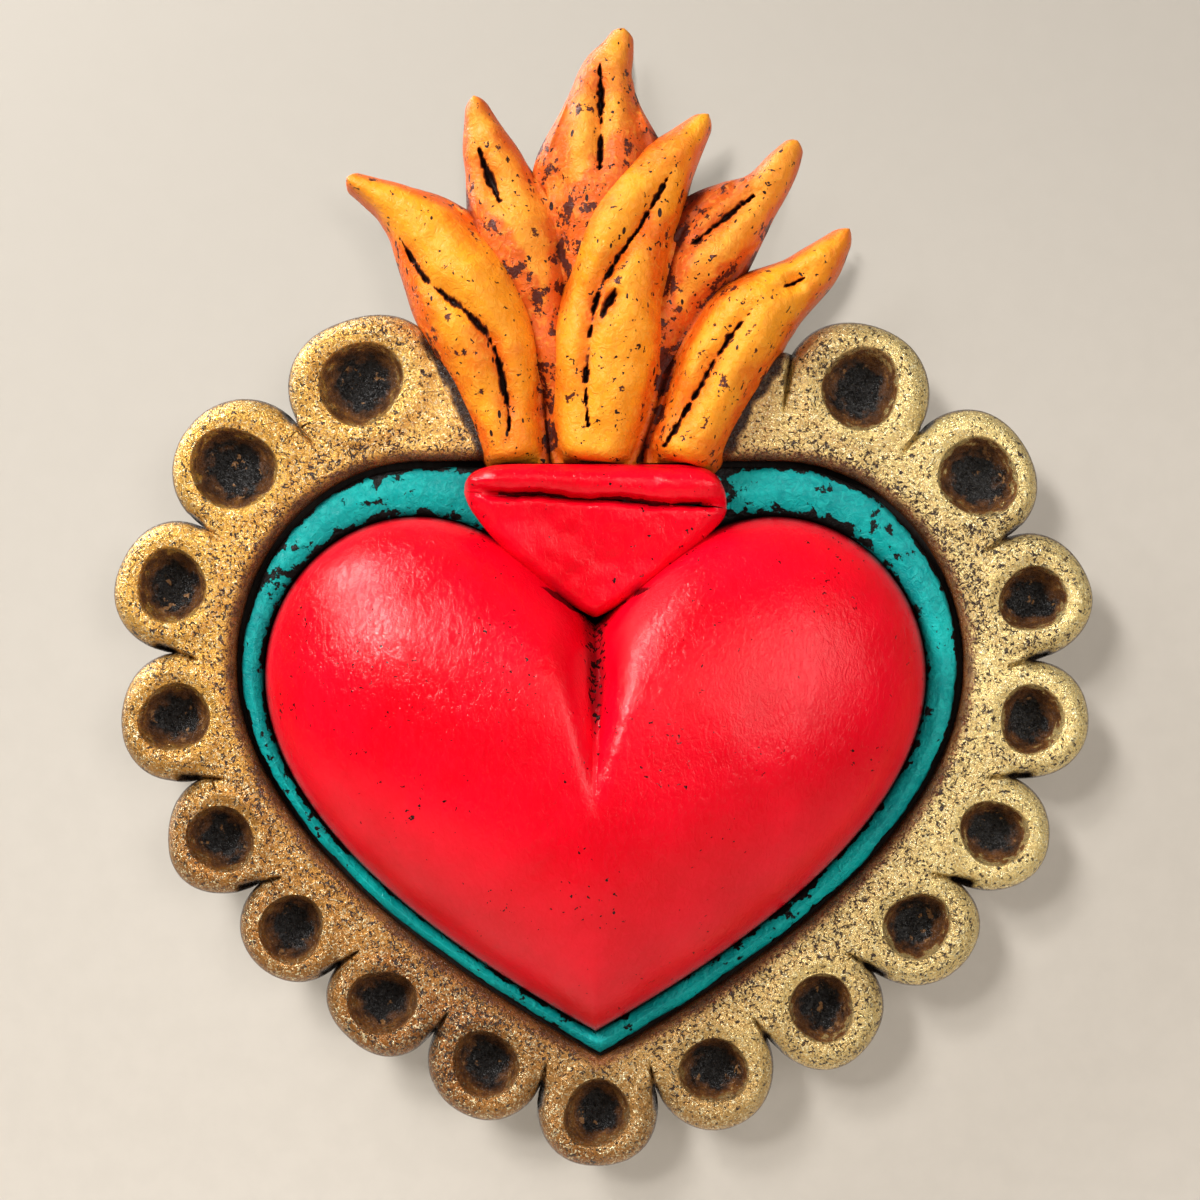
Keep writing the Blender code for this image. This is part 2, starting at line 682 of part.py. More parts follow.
def flames(orange, amber):
    """Six tongues; each is cut back where the one in front of it lies."""
    made = {}
    cutters = {}
    for name in TONGUES:
        front = name.startswith("flame_front")
        thick = FLAME_FRONT if front else FLAME_BACK
        colour = amber if front else orange
        made[name] = tongue(name, thick, 0.0, colour)
        if name not in ("flame_rear_left", "flame_rear_right"):
            cutters[name] = as_cutter(tongue(name, thick, GLUE, colour))
    for name, fronts in (
        ("flame_front_left", ("flame_front_centre",)),
        ("flame_front_right", ("flame_front_centre",)),
        ("flame_rear_centre", ("flame_front_centre", "flame_front_left", "flame_front_right")),
        ("flame_rear_left", ("flame_front_left", "flame_front_centre", "flame_rear_centre")),
        ("flame_rear_right", ("flame_front_right", "flame_front_centre", "flame_rear_centre")),
    ):
        for front in fronts:
            cut(made[name], cutters[front])
    return cutters


def crown_cutter(amber):
    """The part of the band that the flames stand in place of, between the two outer tongues."""
    left = [Vector((s.x, FLAME_FOOT + s.y)) for s in tongue_stations("flame_front_left")[:4 * FLAME_STEPS]]
    right = [Vector((s.x, FLAME_FOOT + s.y)) for s in tongue_stations("flame_front_right")[:4 * FLAME_STEPS]]
    foot = FLAME_FOOT - BORDER_TOP
    outline = [Vector((left[0].x, foot)), Vector((right[0].x, foot))] + right + left[::-1]
    return as_cutter(prism("crown_cutter", outline, SEAT_LEVEL - GLUE, SEAT_LEVEL + BAND_THICK + GLUE, amber))


def collar_wedge(cutter, red):
    """The V-shaped piece in the notch, standing on the border."""
    top = ROLL_HEIGHT - ROLL_SAG - ROLL_RADIUS - GLUE
    tip = HEART_TOP - NOTCH_DROP + 2 * GLUE
    tall = top - tip
    half = COLLAR_WIDTH / 2 - COLLAR_SHOULDER
    point = Vector((HEART_SHIFT, tip))
    corner = Vector((HEART_SHIFT + half, top))
    curve = bezier(point, point + Vector((0.4 * half, 0.5 * tall)),
                   corner - Vector((0.0, 0.3 * tall)), corner)
    right = curve[::6] + [corner]
    left = [Vector((2 * HEART_SHIFT - p.x, p.y)) for p in reversed(right[1:])]
    wedge = prism("collar_wedge", right + left, COLLAR_LEVEL, COLLAR_LEVEL + COLLAR_THICK, red)
    cut(wedge, cutter)
    return wedge


def collar_roll(red):
    """The rolled lip on top of the wedge, sagging a little in the middle."""
    mesh_builder = bmesh.new()
    half = COLLAR_WIDTH / 2
    depth = COLLAR_LEVEL + ROLL_RADIUS
    loops = []
    for share in ROLL_STATIONS:
        taper = ROLL_RADIUS * max(0.15, (1.0 - abs(share) ** 10) ** 0.5)
        height = ROLL_HEIGHT - ROLL_SAG * (1.0 - abs(share))
        ring = []
        for i in range(ROLL_SIDES):
            turn = bearing_vector(360.0 * i / ROLL_SIDES) * taper
            ring.append(at_depth(Vector((share * half, height + turn.y)), depth + turn.x))
        loops.append(loop_of(mesh_builder, ring))
    for first, second in zip(loops, loops[1:]):
        bridge(mesh_builder, first, second)
    mesh_builder.faces.new(loops[0])
    mesh_builder.faces.new(loops[-1])
    return finish("collar_roll", mesh_builder, red)


def build():
    for item in list(bpy.data.objects):
        bpy.data.objects.remove(item, do_unlink=True)
    red = material("red_lacquer", (0.72, 0.02, 0.05), 0.35)
    gold = material("gold_leaf", (0.66, 0.46, 0.18), 0.4, 0.8)
    turquoise = material("turquoise_paint", (0.02, 0.44, 0.42), 0.45)
    orange = material("orange_paint", (0.82, 0.22, 0.03), 0.4)
    amber = material("amber_paint", (0.88, 0.42, 0.04), 0.4)
    card = material("grey_card", (0.36, 0.27, 0.18), 0.85)
    kraft = material("kraft_paper", (0.45, 0.3, 0.17), 0.85)
    newsprint = material("newsprint", (0.6, 0.57, 0.5), 0.9)
    brass = material("aged_brass", (0.55, 0.4, 0.16), 0.4, 1.0)
    steel = material("tack_steel", (0.4, 0.38, 0.36), 0.4, 1.0)

    core = boards(kraft, card)
    strap = hanger_strap(brass)
    hanger_tacks(strap, core, steel)
    hanging_ring(brass)
    made, seat_cutters = scallops(gold)
    band = rim_band(seat_cutters, gold)
    turquoise_border(turquoise)
    heart_shell(red)
    heart_core(newsprint)
    cutters = flames(orange, amber)
    for cutter in (crown_cutter(amber), cutters["flame_front_left"], cutters["flame_front_right"]):
        cut(band, cutter)
    cut(made[0], cutters["flame_front_left"])
    cut(made[-1], cutters["flame_front_right"])
    collar_wedge(heart_cutter(red), red)
    collar_roll(red)


build()
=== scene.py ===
"""Looks of the papier-mache sacred heart: sculpted pulp, worn gilding, brushed paint and a studio."""

import math

import bmesh
import bpy
import numpy as np
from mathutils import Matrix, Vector


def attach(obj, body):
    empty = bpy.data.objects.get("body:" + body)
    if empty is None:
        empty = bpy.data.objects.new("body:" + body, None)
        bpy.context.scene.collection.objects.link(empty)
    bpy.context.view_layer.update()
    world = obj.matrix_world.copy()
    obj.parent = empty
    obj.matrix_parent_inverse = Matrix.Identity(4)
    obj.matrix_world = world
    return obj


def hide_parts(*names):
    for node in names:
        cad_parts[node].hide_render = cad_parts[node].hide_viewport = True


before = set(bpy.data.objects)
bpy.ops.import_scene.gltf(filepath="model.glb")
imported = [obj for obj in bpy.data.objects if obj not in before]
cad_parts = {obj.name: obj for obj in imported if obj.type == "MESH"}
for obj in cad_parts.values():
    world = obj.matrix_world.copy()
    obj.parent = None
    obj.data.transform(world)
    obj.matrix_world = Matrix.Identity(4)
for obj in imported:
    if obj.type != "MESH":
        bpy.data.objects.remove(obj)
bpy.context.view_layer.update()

MM = 0.001
ORNAMENT = "ornament"

# Sizes of the solids: lengths in millimetres, the rest shares and powers
HEART_WIDTH = 131.9
HEART_HEIGHT = 102.6
HEART_TOP = 16.6
HEART_SHIFT = -0.9
LOBE_SPREAD = 71.0
NOTCH_DROP = 21.5
SHOULDER_DROP = 31.6
POLE_DROP = 54.6
FLANK_FULLNESS = 0.46
NOTCH_LEAD = (0.34, 0.6)
CROWN_TRAIL = 0.36
QUARTER_ROUND = 0.55
HEART_SKIRT = 4.0
HEART_RISE = 27.5
HEART_WALL = 4.0
DOME_POWER = 2.3
DOME_ROUND = 0.56
BORDER_TOP = 9.0
BORDER_SIDE = 4.6
BORDER_TIP = 3.3
GROOVE = 2.2
BAND_TOP = 17.2
BAND_SIDE = 12.4
BAND_TIP = 10.6
BAND_LIP = 3.6
BAND_FULLNESS = 0.61
SCALLOP_GAP = 1.7
SCALLOP_SEAT_LIP = 1.6
DISH_RIM = 5.0
DISH_SHIFT = 0.7
COLLAR_WIDTH = 52.0
COLLAR_RISE = 1.6
SEAT_LEVEL = 8.4
COLLAR_LEVEL = 13.7
GLUE = 0.3
# Scallops: bearing from the heart's pole in degrees, how far each is pushed out and how much fuller it is
SCALLOPS = (
    ("scallop_left_1", 119.9, -1.0, 0.6), ("scallop_left_2", 138.3, -0.8, -0.4),
    ("scallop_left_3", 154.2, 0.6, 0.2), ("scallop_left_4", 170.1, 0.0, 0.0),
    ("scallop_left_5", 187.3, -0.2, 0.6), ("scallop_left_6", 204.4, 0.0, 0.2),
    ("scallop_left_7", 224.7, 0.0, 0.6), ("scallop_left_8", 248.1, 0.2, 1.0),
    ("scallop_bottom", 270.2, -0.4, 0.4), ("scallop_right_8", 293.0, 1.2, 1.6),
    ("scallop_right_7", 316.2, 1.4, 2.4), ("scallop_right_6", 337.2, 0.8, 2.4),
    ("scallop_right_5", 354.0, 1.9, 1.4), ("scallop_right_4", 9.3, 1.4, 1.7),
    ("scallop_right_3", 23.7, 1.1, 1.5), ("scallop_right_2", 39.3, 0.0, -0.6),
    ("scallop_right_1", 56.6, -0.6, 0.4),
)

# Sculpted relief: lengths in millimetres, bearings in degrees, a half turn in radians, then shares and powers
CLEFT_DEPTH = 6.0
CLEFT_END = 5.0
CLEFT_FLOOR = (0.15, 1.3)
CLEFT_SHOULDER = (2.5, 9.0)
CLEFT_POWER = 2.4
CLEFT_SHALLOWER = 0.45
NEAR_NOTCH = (0.75, 1.0)
TIP_BLUNTING = 24.0
RING_CROWDING = 1.6
WEDGE_SHADOW = (0.3, 1.3)
WEDGE_SHADOW_FADE = (2.0, 12.0)
HOLLOW_DROP = 3.2
CORE_GAP = 0.4
INNER_SHARES = (0.06, 0.2, 0.34, 0.47, 0.59, 0.7, 0.79, 0.87, 0.93, 0.97, 0.99, 1.0)
BORDER_CROWN = 13.6
BORDER_EDGE = 11.6
BORDER_POWER = 0.45
BAND_CROWN = 16.0
BAND_ROUND = 2.6
BAND_DROP = 4.0
LIP_GIVE = 0.4
LIP_DROP = 6.0
# Grime with painted shade on the gilding: how far below the band's crown it starts, and how far beside the
# outer flames it reaches
GRIME_AND_SHADE_FALL = (1.8, 4.4)
GRIME_AND_SHADE_BESIDE = (0.2, 1.7)
LOBE_CROWN = 16.7
LOBE_ROUND = 5.2
LOBE_DROP = 6.4
LOBE_SQUARENESS = 2.15
FILL_LIP = 0.2
END_REACH = (16.5, 15.2)
LOBE_NEIGHBOURHOOD = 21.0
DISH_LEAST = 6.7
DISH_DEPTH = 7.0
DISH_POWER = 4.5
DISH_FUNNEL = 0.9
FUNNEL_SHARES = (0.92, 1.4)
NOTCH_DEPTH = 4.2
NOTCH_HALF_WIDTH = 1.2
NOTCH_INWARD = 4.6
NOTCH_OUTWARD = 4.0
BOLE_REACH = 7.0
KNOBS = ((66.5, 4.0, 5.6), (110.5, 3.2, 5.0))
KNOB_NOTCH = ((38.2, 49.0), (36.4, 37.2))
BORDER_SPREAD = 0.9
BAND_ENDS = (105.5, 434.0)
SCALLOP_LEAST = 0.4
LOBE_SEARCH = 20.0
BAND_SEARCH = 0.6
BAND_LAP = 0.1
LOBE_HALF_TURN = 0.35
COLLAR_LEAST = 0.3

# Unevenness of the pulp and of the painted marks, painted shade among them: layers of noise, each with its
# height, the size of its lumps and its seed
HEART_UNEVEN = ((0.35, 26.0, 1), (0.14, 8.0, 2), (0.04, 2.4, 3))
CLEFT_UNEVEN = ((0.3, 5.0, 6),)
WEDGE_SHADOW_UNEVEN = ((0.5, 2.0, 7),)
CORE_CRUMPLES = ((0.5, 7.0, 8), (0.3, 3.0, 9))
BORDER_SIDE_UNEVEN = ((0.35, 9.0, 11),)
BORDER_UNEVEN = ((0.25, 7.0, 12), (0.1, 2.5, 13))
FRAME_UNEVEN = ((0.28, 9.0, 21), (0.14, 3.2, 22), (0.06, 1.3, 23))
GRIME_AND_SHADE_UNEVEN = ((0.8, 3.0, 25),)
FLAME_UNEVEN = ((0.9, 8.0, 32), (0.45, 3.6, 33), (0.08, 1.1, 34))
FLAME_SLIT_UNEVEN = ((0.35, 0.8, 31), (0.3, 2.2, 35))
FLAME_SLIT_WIDTHS = ((0.8, 6.0, 36),)
TUCK_UNEVEN = ((0.35, 2.2, 37),)
COLLAR_UNEVEN = ((0.5, 8.0, 41), (0.2, 2.6, 42))
COLLAR_SLIT_UNEVEN = ((0.16, 1.2, 43), (0.25, 5.0, 44))
HASH_PRIMES = (374761393, 668265263, 2147483647)
SEED_PRIME = 974634777
MIX_PRIME = 1274126177

# Waves of an outline: how high each is, how fast it turns and where it starts
LOBE_WAVES = ((0.3, 2, 1.7), (0.2, 3, 2.9))
BRIM_WAVES = ((0.05, 2, 2.3), (0.03, 3, 1.1))
SLIT_WAVES = ((0.22, 0.4, 0.0), (0.06, 1.6, 1.0))

# Points along and round the meshes
HEART_POINTS = 480
HEART_RINGS = 110
CORE_POINTS = 240
BORDER_POINTS = 720
SCALLOP_POINTS = 120
SCALLOP_RINGS = 26
BAND_STEP = 0.25
SEARCH_STEPS = 200
FLAME_STEPS = 22
FLAME_ACROSS = 111
WEDGE_STEPS = 50
WEDGE_ACROSS = 91
ROLL_ALONG = 140
ROLL_ACROSS = 45

# Flames: sideways, height above the collar and half width of each station; then the carved grooves
TONGUES = {
    "flame_front_left": ((-16.6, 0.0, 6.2), (-19.4, 11.8, 7.8), (-22.3, 23.8, 10.5), (-27.8, 35.8, 11.0),
                         (-35.0, 46.4, 7.8), (-40.6, 51.4, 5.0), (-45.4, 54.2, 3.4), (-50.4, 56.8, 2.0)),
    "flame_front_centre": ((-1.8, 0.0, 8.4), (0.0, 12.8, 10.8), (1.6, 23.8, 11.8), (3.0, 34.8, 10.8),
                           (4.8, 44.8, 10.6), (8.4, 52.2, 9.4), (12.4, 58.4, 7.0), (16.8, 63.8, 4.4),
                           (21.6, 69.6, 1.8)),
    "flame_front_right": ((16.2, 0.0, 7.4), (18.6, 6.8, 8.0), (21.8, 14.2, 8.6), (25.4, 21.4, 9.4),
                          (29.6, 28.0, 9.2), (34.4, 32.4, 7.6), (40.0, 36.4, 5.6), (44.4, 40.4, 4.4),
                          (49.6, 46.6, 1.8)),
    "flame_rear_left": ((-11.0, 26.8, 6.0), (-14.0, 35.8, 8.0), (-17.0, 44.8, 9.2), (-19.2, 52.8, 7.6),
                        (-21.0, 59.2, 6.0), (-23.0, 64.8, 4.6), (-25.2, 73.4, 1.9)),
    "flame_rear_centre": ((0.0, 32.8, 8.0), (0.0, 42.8, 10.0), (0.2, 52.8, 10.8), (0.4, 60.8, 10.4),
                          (0.6, 72.2, 7.4), (1.4, 78.2, 5.6), (3.4, 82.8, 3.6), (4.8, 86.8, 2.0)),
    "flame_rear_right": ((16.0, 32.8, 5.0), (20.0, 39.2, 7.2), (24.4, 45.8, 7.4), (29.0, 51.0, 6.0),
                         (33.2, 55.2, 4.6), (36.6, 60.0, 3.4), (39.4, 64.4, 1.8)),
}
CARVINGS = {
    "flame_front_left": (((-39.6, 44.4), (-34.0, 35.8), (-26.4, 29.6), (-21.6, 24.0), (-19.6, 17.8),
                          (-18.2, 11.0), (-18.0, 5.0)),),
    "flame_front_centre": (((14.6, 58.4), (8.0, 46.8), (3.2, 39.8), (-0.2, 33.6), (-2.0, 25.4), (-2.8, 15.0),
                            (-2.4, 7.2)), ((3.2, 34.4), (0.4, 28.8))),
    "flame_front_right": (((36.4, 34.6), (40.4, 36.4)),
                          ((30.0, 30.2), (23.8, 22.0), (19.0, 13.6), (12.8, 3.4))),
    "flame_rear_left": (((-24.0, 62.0), (-20.0, 52.0)),),
    "flame_rear_centre": (((0.0, 79.4), (0.2, 70.0), (0.0, 57.8)),),
    "flame_rear_right": (((30.4, 53.2), (23.0, 47.0), (16.2, 42.0)),),
}
# Collar: the slit below its lip, and its rounded edges
SLIT_LEVEL = 19.9
SLIT_SLOPE = 0.06
SLIT_FADE = (20.0, 23.5)
COLLAR_SLIT_WIDTH = 0.7
COLLAR_SLIT_REACH = 1.65
COLLAR_SLIT_DEPTH = 2.0
COLLAR_TIP = -3.6
WEDGE_SHOULDER = (24.3, 16.0)
WEDGE_TOP = (26.2, 20.2)
COLLAR_FACE = 8.6
COLLAR_ROUND = 3.4
COLLAR_DROP = 5.0
ROLL_CREST = 3.4
ROLL_HALF = 3.9
ROLL_FACE = 6.4
ROLL_RISE = 3.6
# Flames: thickness, carved grooves, and what happens at their feet
FLAME_FRONT = 17.0
FLAME_BACK = 12.0
SLIT_WIDTH = 0.5
SLIT_WIDTH_LIMITS = (0.45, 1.6)
SLIT_REACH = 1.15
SLIT_DEPTH = 1.4
VALLEY_WIDTH = 2.3
VALLEY_DEPTH = 3.0
# Widths of the painted shade where a flame runs under the front flames
TUCK_WIDTH = 2.4
REAR_TUCK_WIDTH = 4.6
FOOT_ROUND = 3.0
OUTER_FLAMES = ("flame_front_left", "flame_front_right")
FRONT_FLAMES = OUTER_FLAMES + ("flame_front_centre",)
# How far the pulp is drawn out at the foot of each flame, left and right, to meet its neighbours
WEBS = {
    "flame_front_left": (0.0, 2.4),
    "flame_front_centre": (2.0, 2.6),
    "flame_front_right": (2.4, 0.0),
    "flame_rear_left": (0.0, 4.0),
    "flame_rear_centre": (4.0, 4.0),
    "flame_rear_right": (4.0, 1.0),
}
WEB_RISE = 7.0
WEB_FADE = (0.35, 0.7)
TIP_START = 0.965
TIP_LENGTH = 0.036
LEAF_POWER = 2.4
ROOT_LENGTH = 2.6
BACK_STEP = 0.12

# Shadow card: radius of its middle disc, and how far its discs stay inside the ornament, in millimetres
CARD_MIDDLE = 60.0
CARD_INSET = 1.0
# Camera and studio: lens and sensor in millimetres, the rest in metres
CAMERA_LENS = 110.0
CAMERA_SENSOR = 36.0
PHOTO_WIDTH = 0.24
OUTLINE_DEPTH = 0.011
CAMERA_DISTANCE = OUTLINE_DEPTH + PHOTO_WIDTH * CAMERA_LENS / CAMERA_SENSOR
WALL = 1.3
FLOOR = -0.8
COVE = 0.5
CARD_GAP = 0.06
CARD_STEP = 0.0004
STAGE_REACH = 8.0
WALL_HEIGHT = 6.0

# Places and levels that follow from the sizes
HEART_TIP = HEART_TOP - HEART_HEIGHT
POLE = np.array((HEART_SHIFT, HEART_TOP - POLE_DROP))
FLAME_FOOT = HEART_TOP + BORDER_TOP + COLLAR_RISE


# Outlines

def bezier(points, steps=60):
    """Points along a cubic curve, without its last one."""
    start, lead, trail, end = (np.array(p, float) for p in points)
    t = (np.arange(steps) / steps)[:, None]
    s = 1.0 - t
    return start * s ** 3 + lead * 3 * s * s * t + trail * 3 * s * t * t + end * t ** 3


def heart_outline(reach, top, dip, shoulder, tip, lobe, shift=0.0, fullness=FLANK_FULLNESS):
    """A closed heart, clockwise from its notch."""
    drop = shoulder - tip
    notch = (0.0, top - dip)
    over = bezier((notch, (NOTCH_LEAD[0] * lobe, top - dip + NOTCH_LEAD[1] * dip),
                   (lobe - CROWN_TRAIL * lobe, top), (lobe, top)))
    side = bezier(((lobe, top), (lobe + QUARTER_ROUND * (reach - lobe), top),
                   (reach, shoulder + QUARTER_ROUND * (top - shoulder)), (reach, shoulder)))
    flank = bezier(((reach, shoulder), (reach, shoulder - (0.2 + 0.45 * fullness) * drop),
                    (fullness * reach, tip + 0.24 * drop), (0.0, tip)))
    right = np.vstack((over, side, flank, ((0.0, tip),)))
    left = right[-2:0:-1] * (-1.0, 1.0)
    return np.vstack((right, left)) + (shift, 0.0)


def red_outline(grow=0.0):
    return heart_outline(HEART_WIDTH / 2 + grow, HEART_TOP + grow, NOTCH_DROP, HEART_TOP - SHOULDER_DROP,
                         HEART_TIP - grow, LOBE_SPREAD / 2, HEART_SHIFT)


def frame_outline(top, side, tip, fullness=FLANK_FULLNESS):
    return heart_outline(HEART_WIDTH / 2 + side, HEART_TOP + top, 0.0, HEART_TOP - SHOULDER_DROP + 0.3 * side,
                         HEART_TIP - tip, LOBE_SPREAD / 2, 0.0, fullness)


def band_outline(lip):
    return frame_outline(BORDER_TOP + GROOVE + BAND_TOP - lip, BORDER_SIDE + GROOVE + BAND_SIDE - lip,
                         BORDER_TIP + GROOVE + BAND_TIP - lip, BAND_FULLNESS)


def polar(outline, centre=POLE):
    """The outline's distance from a centre, as a function of the bearing in radians."""
    offset = outline - centre
    bearing = np.arctan2(offset[:, 1], offset[:, 0]) % (2 * math.pi)
    order = np.argsort(bearing)
    reach = np.hypot(offset[:, 0], offset[:, 1])
    return lambda angle: np.interp(angle, bearing[order], reach[order], period=2 * math.pi)


def around(angle):
    return np.stack((np.cos(angle), np.sin(angle)), axis=-1)


def wavering(waves, turn, shift=1):
    """A sum of waves. The shift sets the pieces apart: it multiplies where each wave starts."""
    return sum(height * np.sin(times * turn + start * shift) for height, times, start in waves)


def full_turn(count, start=math.pi / 2):
    """Bearings all the way round, from the top if no other start is given."""
    return start + np.arange(count) * 2 * math.pi / count


def crowded(count):
    """Shares from -1 to 1 that crowd towards both ends."""
    return np.sin(np.linspace(-math.pi / 2, math.pi / 2, count))


red_reach = polar(red_outline())
inner_reach = polar(red_outline(-HEART_WALL))
border_reach = polar(frame_outline(BORDER_TOP, BORDER_SIDE, BORDER_TIP))
opening_reach = polar(frame_outline(BORDER_TOP + GROOVE, BORDER_SIDE + GROOVE, BORDER_TIP + GROOVE))
band_reach = polar(band_outline(BAND_LIP))


def scallop_places():
    """Centre, radius and dish radius of each scallop, from its place between its neighbours."""
    ring_reach = polar(band_outline(0.0))
    bearings = np.radians([bearing for _, bearing, _, _ in SCALLOPS])
    centres = POLE + around(bearings) * ring_reach(bearings)[:, None]
    steps = np.linalg.norm(np.diff(centres, axis=0), axis=1)
    radii = (steps[:-1] + steps[1:]) / 4 - SCALLOP_GAP / 2
    radii = np.concatenate((radii[:1], radii, radii[-1:]))
    pushed = np.array([push for _, _, push, _ in SCALLOPS])
    fuller = np.array([grow for _, _, _, grow in SCALLOPS])
    dishes = np.maximum(radii - DISH_RIM, DISH_LEAST)
    return centres + around(bearings) * pushed[:, None], radii + fuller, dishes


LOBE_CENTRES, LOBE_RADII, DISH_RADII = scallop_places()
LOBE_STEPS = np.linalg.norm(np.diff(LOBE_CENTRES, axis=0), axis=1) / 2
SPAN_BEFORE = np.concatenate((END_REACH[:1], LOBE_STEPS))
SPAN_AFTER = np.concatenate((LOBE_STEPS, END_REACH[1:]))
filled_outline = polar(band_outline(FILL_LIP))


def fill_reach(angle):
    """Reach of the gilded band: out to where the scallops meet, with a knob beside each outer flame."""
    bearings = [bearing for _, bearing, _, _ in SCALLOPS]
    pushed = [push for _, _, push, _ in SCALLOPS]
    reach = filled_outline(angle) + np.interp(np.degrees(angle), bearings, pushed, period=360.0)
    for bearing, spread, rise in KNOBS:
        away = (np.degrees(angle) - bearing + 180.0) % 360.0 - 180.0
        reach = reach + rise * np.exp(-(away / spread) ** 2)
    return reach


def lobe_reach(i, angle):
    """Reach of a scallop from its centre: drawn out sideways to meet its neighbours."""
    outward = LOBE_CENTRES[i] - POLE
    turn = angle - math.atan2(outward[1], outward[0])
    sideways = np.where(np.sin(turn) > 0.0, SPAN_AFTER[i], SPAN_BEFORE[i])
    n = LOBE_SQUARENESS
    share = (np.abs(np.cos(turn)) / LOBE_RADII[i]) ** n + (np.abs(np.sin(turn)) / sideways) ** n
    return share ** (-1.0 / n) + wavering(LOBE_WAVES, turn, i) * np.abs(np.cos(turn))


# Noise and small curves

def hashed(cells, seed):
    """A steady pseudo-random number from -1 to 1 for each cell of whole numbers."""
    mixed = seed * SEED_PRIME + sum(cells[..., axis] * prime for axis, prime in enumerate(HASH_PRIMES))
    mixed = (mixed ^ (mixed >> 13)) * MIX_PRIME
    mixed = mixed ^ (mixed >> 16)
    return (mixed & 0xFFFF) / 32767.5 - 1.0


def lumps(points, size, seed):
    """Smooth noise from -1 to 1 over points in millimetres, with lumps of about this size."""
    place = np.asarray(points, float) / size
    cell = np.floor(place).astype(np.int64)
    share = place - cell
    share = share * share * (3.0 - 2.0 * share)
    total = 0.0
    for corner in np.ndindex(2, 2, 2):
        weight = np.prod(np.where(np.array(corner) == 1, share, 1.0 - share), axis=-1)
        total = total + weight * hashed(cell + np.array(corner), seed)
    return total


def flat_lumps(place, size, seed):
    """The same noise over places on the front view."""
    return lumps(np.concatenate((place, np.zeros(place.shape[:-1] + (1,))), axis=-1), size, seed)


def uneven_by(place, layers):
    """How far layers of noise lift a place."""
    return sum(height * flat_lumps(place, size, seed) for height, size, seed in layers)


def ease(value, low, high):
    """0 below low, 1 above high, smooth between."""
    t = np.clip((value - low) / (high - low), 0.0, 1.0)
    return t * t * (3.0 - 2.0 * t)


def smooth_max(a, b, width):
    """The larger of two heights, with the valley between them rounded."""
    h = np.clip(0.5 + 0.5 * (a - b) / width, 0.0, 1.0)
    return b + (a - b) * h + width * h * (1.0 - h)


def rounded(inside, width, drop):
    """How far a rounded edge has fallen, by the distance inside it."""
    t = np.clip(inside / width, 0.0, 1.0)
    return drop * (1.0 - np.sqrt(1.0 - (1.0 - t) ** 2))


def line_distance(place, line):
    """Distance from places to a broken line, and how far along it the nearest point lies, from 0 to 1."""
    line = np.array(line, float)
    lengths = np.linalg.norm(np.diff(line, axis=0), axis=1)
    begun = np.concatenate(((0.0,), np.cumsum(lengths)))
    best = np.full(place.shape[:-1], np.inf)
    along = np.zeros(place.shape[:-1])
    for i, length in enumerate(lengths):
        way = (line[i + 1] - line[i]) / length
        t = np.clip((place - line[i]) @ way, 0.0, length)
        distance = np.linalg.norm(place - line[i] - t[..., None] * way, axis=-1)
        nearer = distance < best
        best = np.where(nearer, distance, best)
        along = np.where(nearer, (begun[i] + t) / begun[-1], along)
    return best, along


def spline(rows, steps):
    """Points on a smooth curve through rows of numbers."""
    rows = np.array(rows, float)
    padded = np.vstack((2 * rows[0] - rows[1], rows, 2 * rows[-1] - rows[-2]))
    t = (np.arange(steps) / steps)[:, None]
    parts = []
    for a, b, c, d in zip(padded, padded[1:], padded[2:], padded[3:]):
        parts.append(0.5 * (2 * b + (c - a) * t + (2 * a - 5 * b + 4 * c - d) * t * t
                            + (3 * b - a - 3 * c + d) * t ** 3))
    return np.vstack(parts + [rows[-1:]])


# Meshes

def solid(place, depth):
    """Points in space from places on the front view and depths from the wall."""
    depth = np.broadcast_to(depth, place.shape[:-1])
    return np.stack((place[..., 0], -depth, place[..., 1]), axis=-1)


def flat_backed(place, height, back):
    """Rows of points across a piece: its face at these heights, then both edges of its flat back."""
    edges = (solid(place[:, -1:], back), solid(place[:, :1], back))
    return np.concatenate((solid(place, height), *edges), axis=1)


def with_back(mark, value):
    """A mark over a face, with one value for both edges of the flat back."""
    return np.concatenate((mark, np.full((len(mark), 2), value)), axis=1)


def put_in_scene(name, data):
    item = bpy.data.objects.new(name, data)
    bpy.context.scene.collection.objects.link(item)
    return item


def loft(name, loops, marks=None, closed_along=False, sharp=50.0):
    """A closed mesh through closed loops of points, in millimetres, with named marks on its vertices."""
    loops = np.asarray(loops, float)
    rows, columns, _ = loops.shape
    index = np.arange(rows * columns).reshape(rows, columns)
    after = np.roll(index, -1, axis=1)
    lower = np.arange(rows if closed_along else rows - 1)
    upper = (lower + 1) % rows
    quads = np.stack((index[lower], after[lower], after[upper], index[upper]), axis=-1).reshape(-1, 4)
    points = loops.reshape(-1, 3)
    faces = quads.tolist()
    extra = []
    if not closed_along:
        for row, flip in ((0, True), (rows - 1, False)):
            centre = len(points) + len(extra)
            extra.append(loops[row].mean(axis=0))
            ring = index[row]
            for i in range(columns):
                trio = (int(ring[i - 1]), int(ring[i]), centre)
                faces.append(trio[::-1] if flip else trio)
    mesh = bpy.data.meshes.new(name)
    mesh.from_pydata(np.vstack([points] + extra) * MM, [], faces)
    builder = bmesh.new()
    builder.from_mesh(mesh)
    bmesh.ops.recalc_face_normals(builder, faces=builder.faces)
    builder.to_mesh(mesh)
    builder.free()
    for mark, values in (marks or {}).items():
        flat = np.asarray(values, float).reshape(-1)
        ends = [] if closed_along else [values[0].mean(), values[-1].mean()]
        layer = mesh.attributes.new(mark, "FLOAT", "POINT")
        layer.data.foreach_set("value", np.concatenate((flat, ends)).astype(np.float32))
    mesh.shade_smooth()
    mesh.set_sharp_from_angle(angle=math.radians(sharp))
    return put_in_scene(name, mesh)


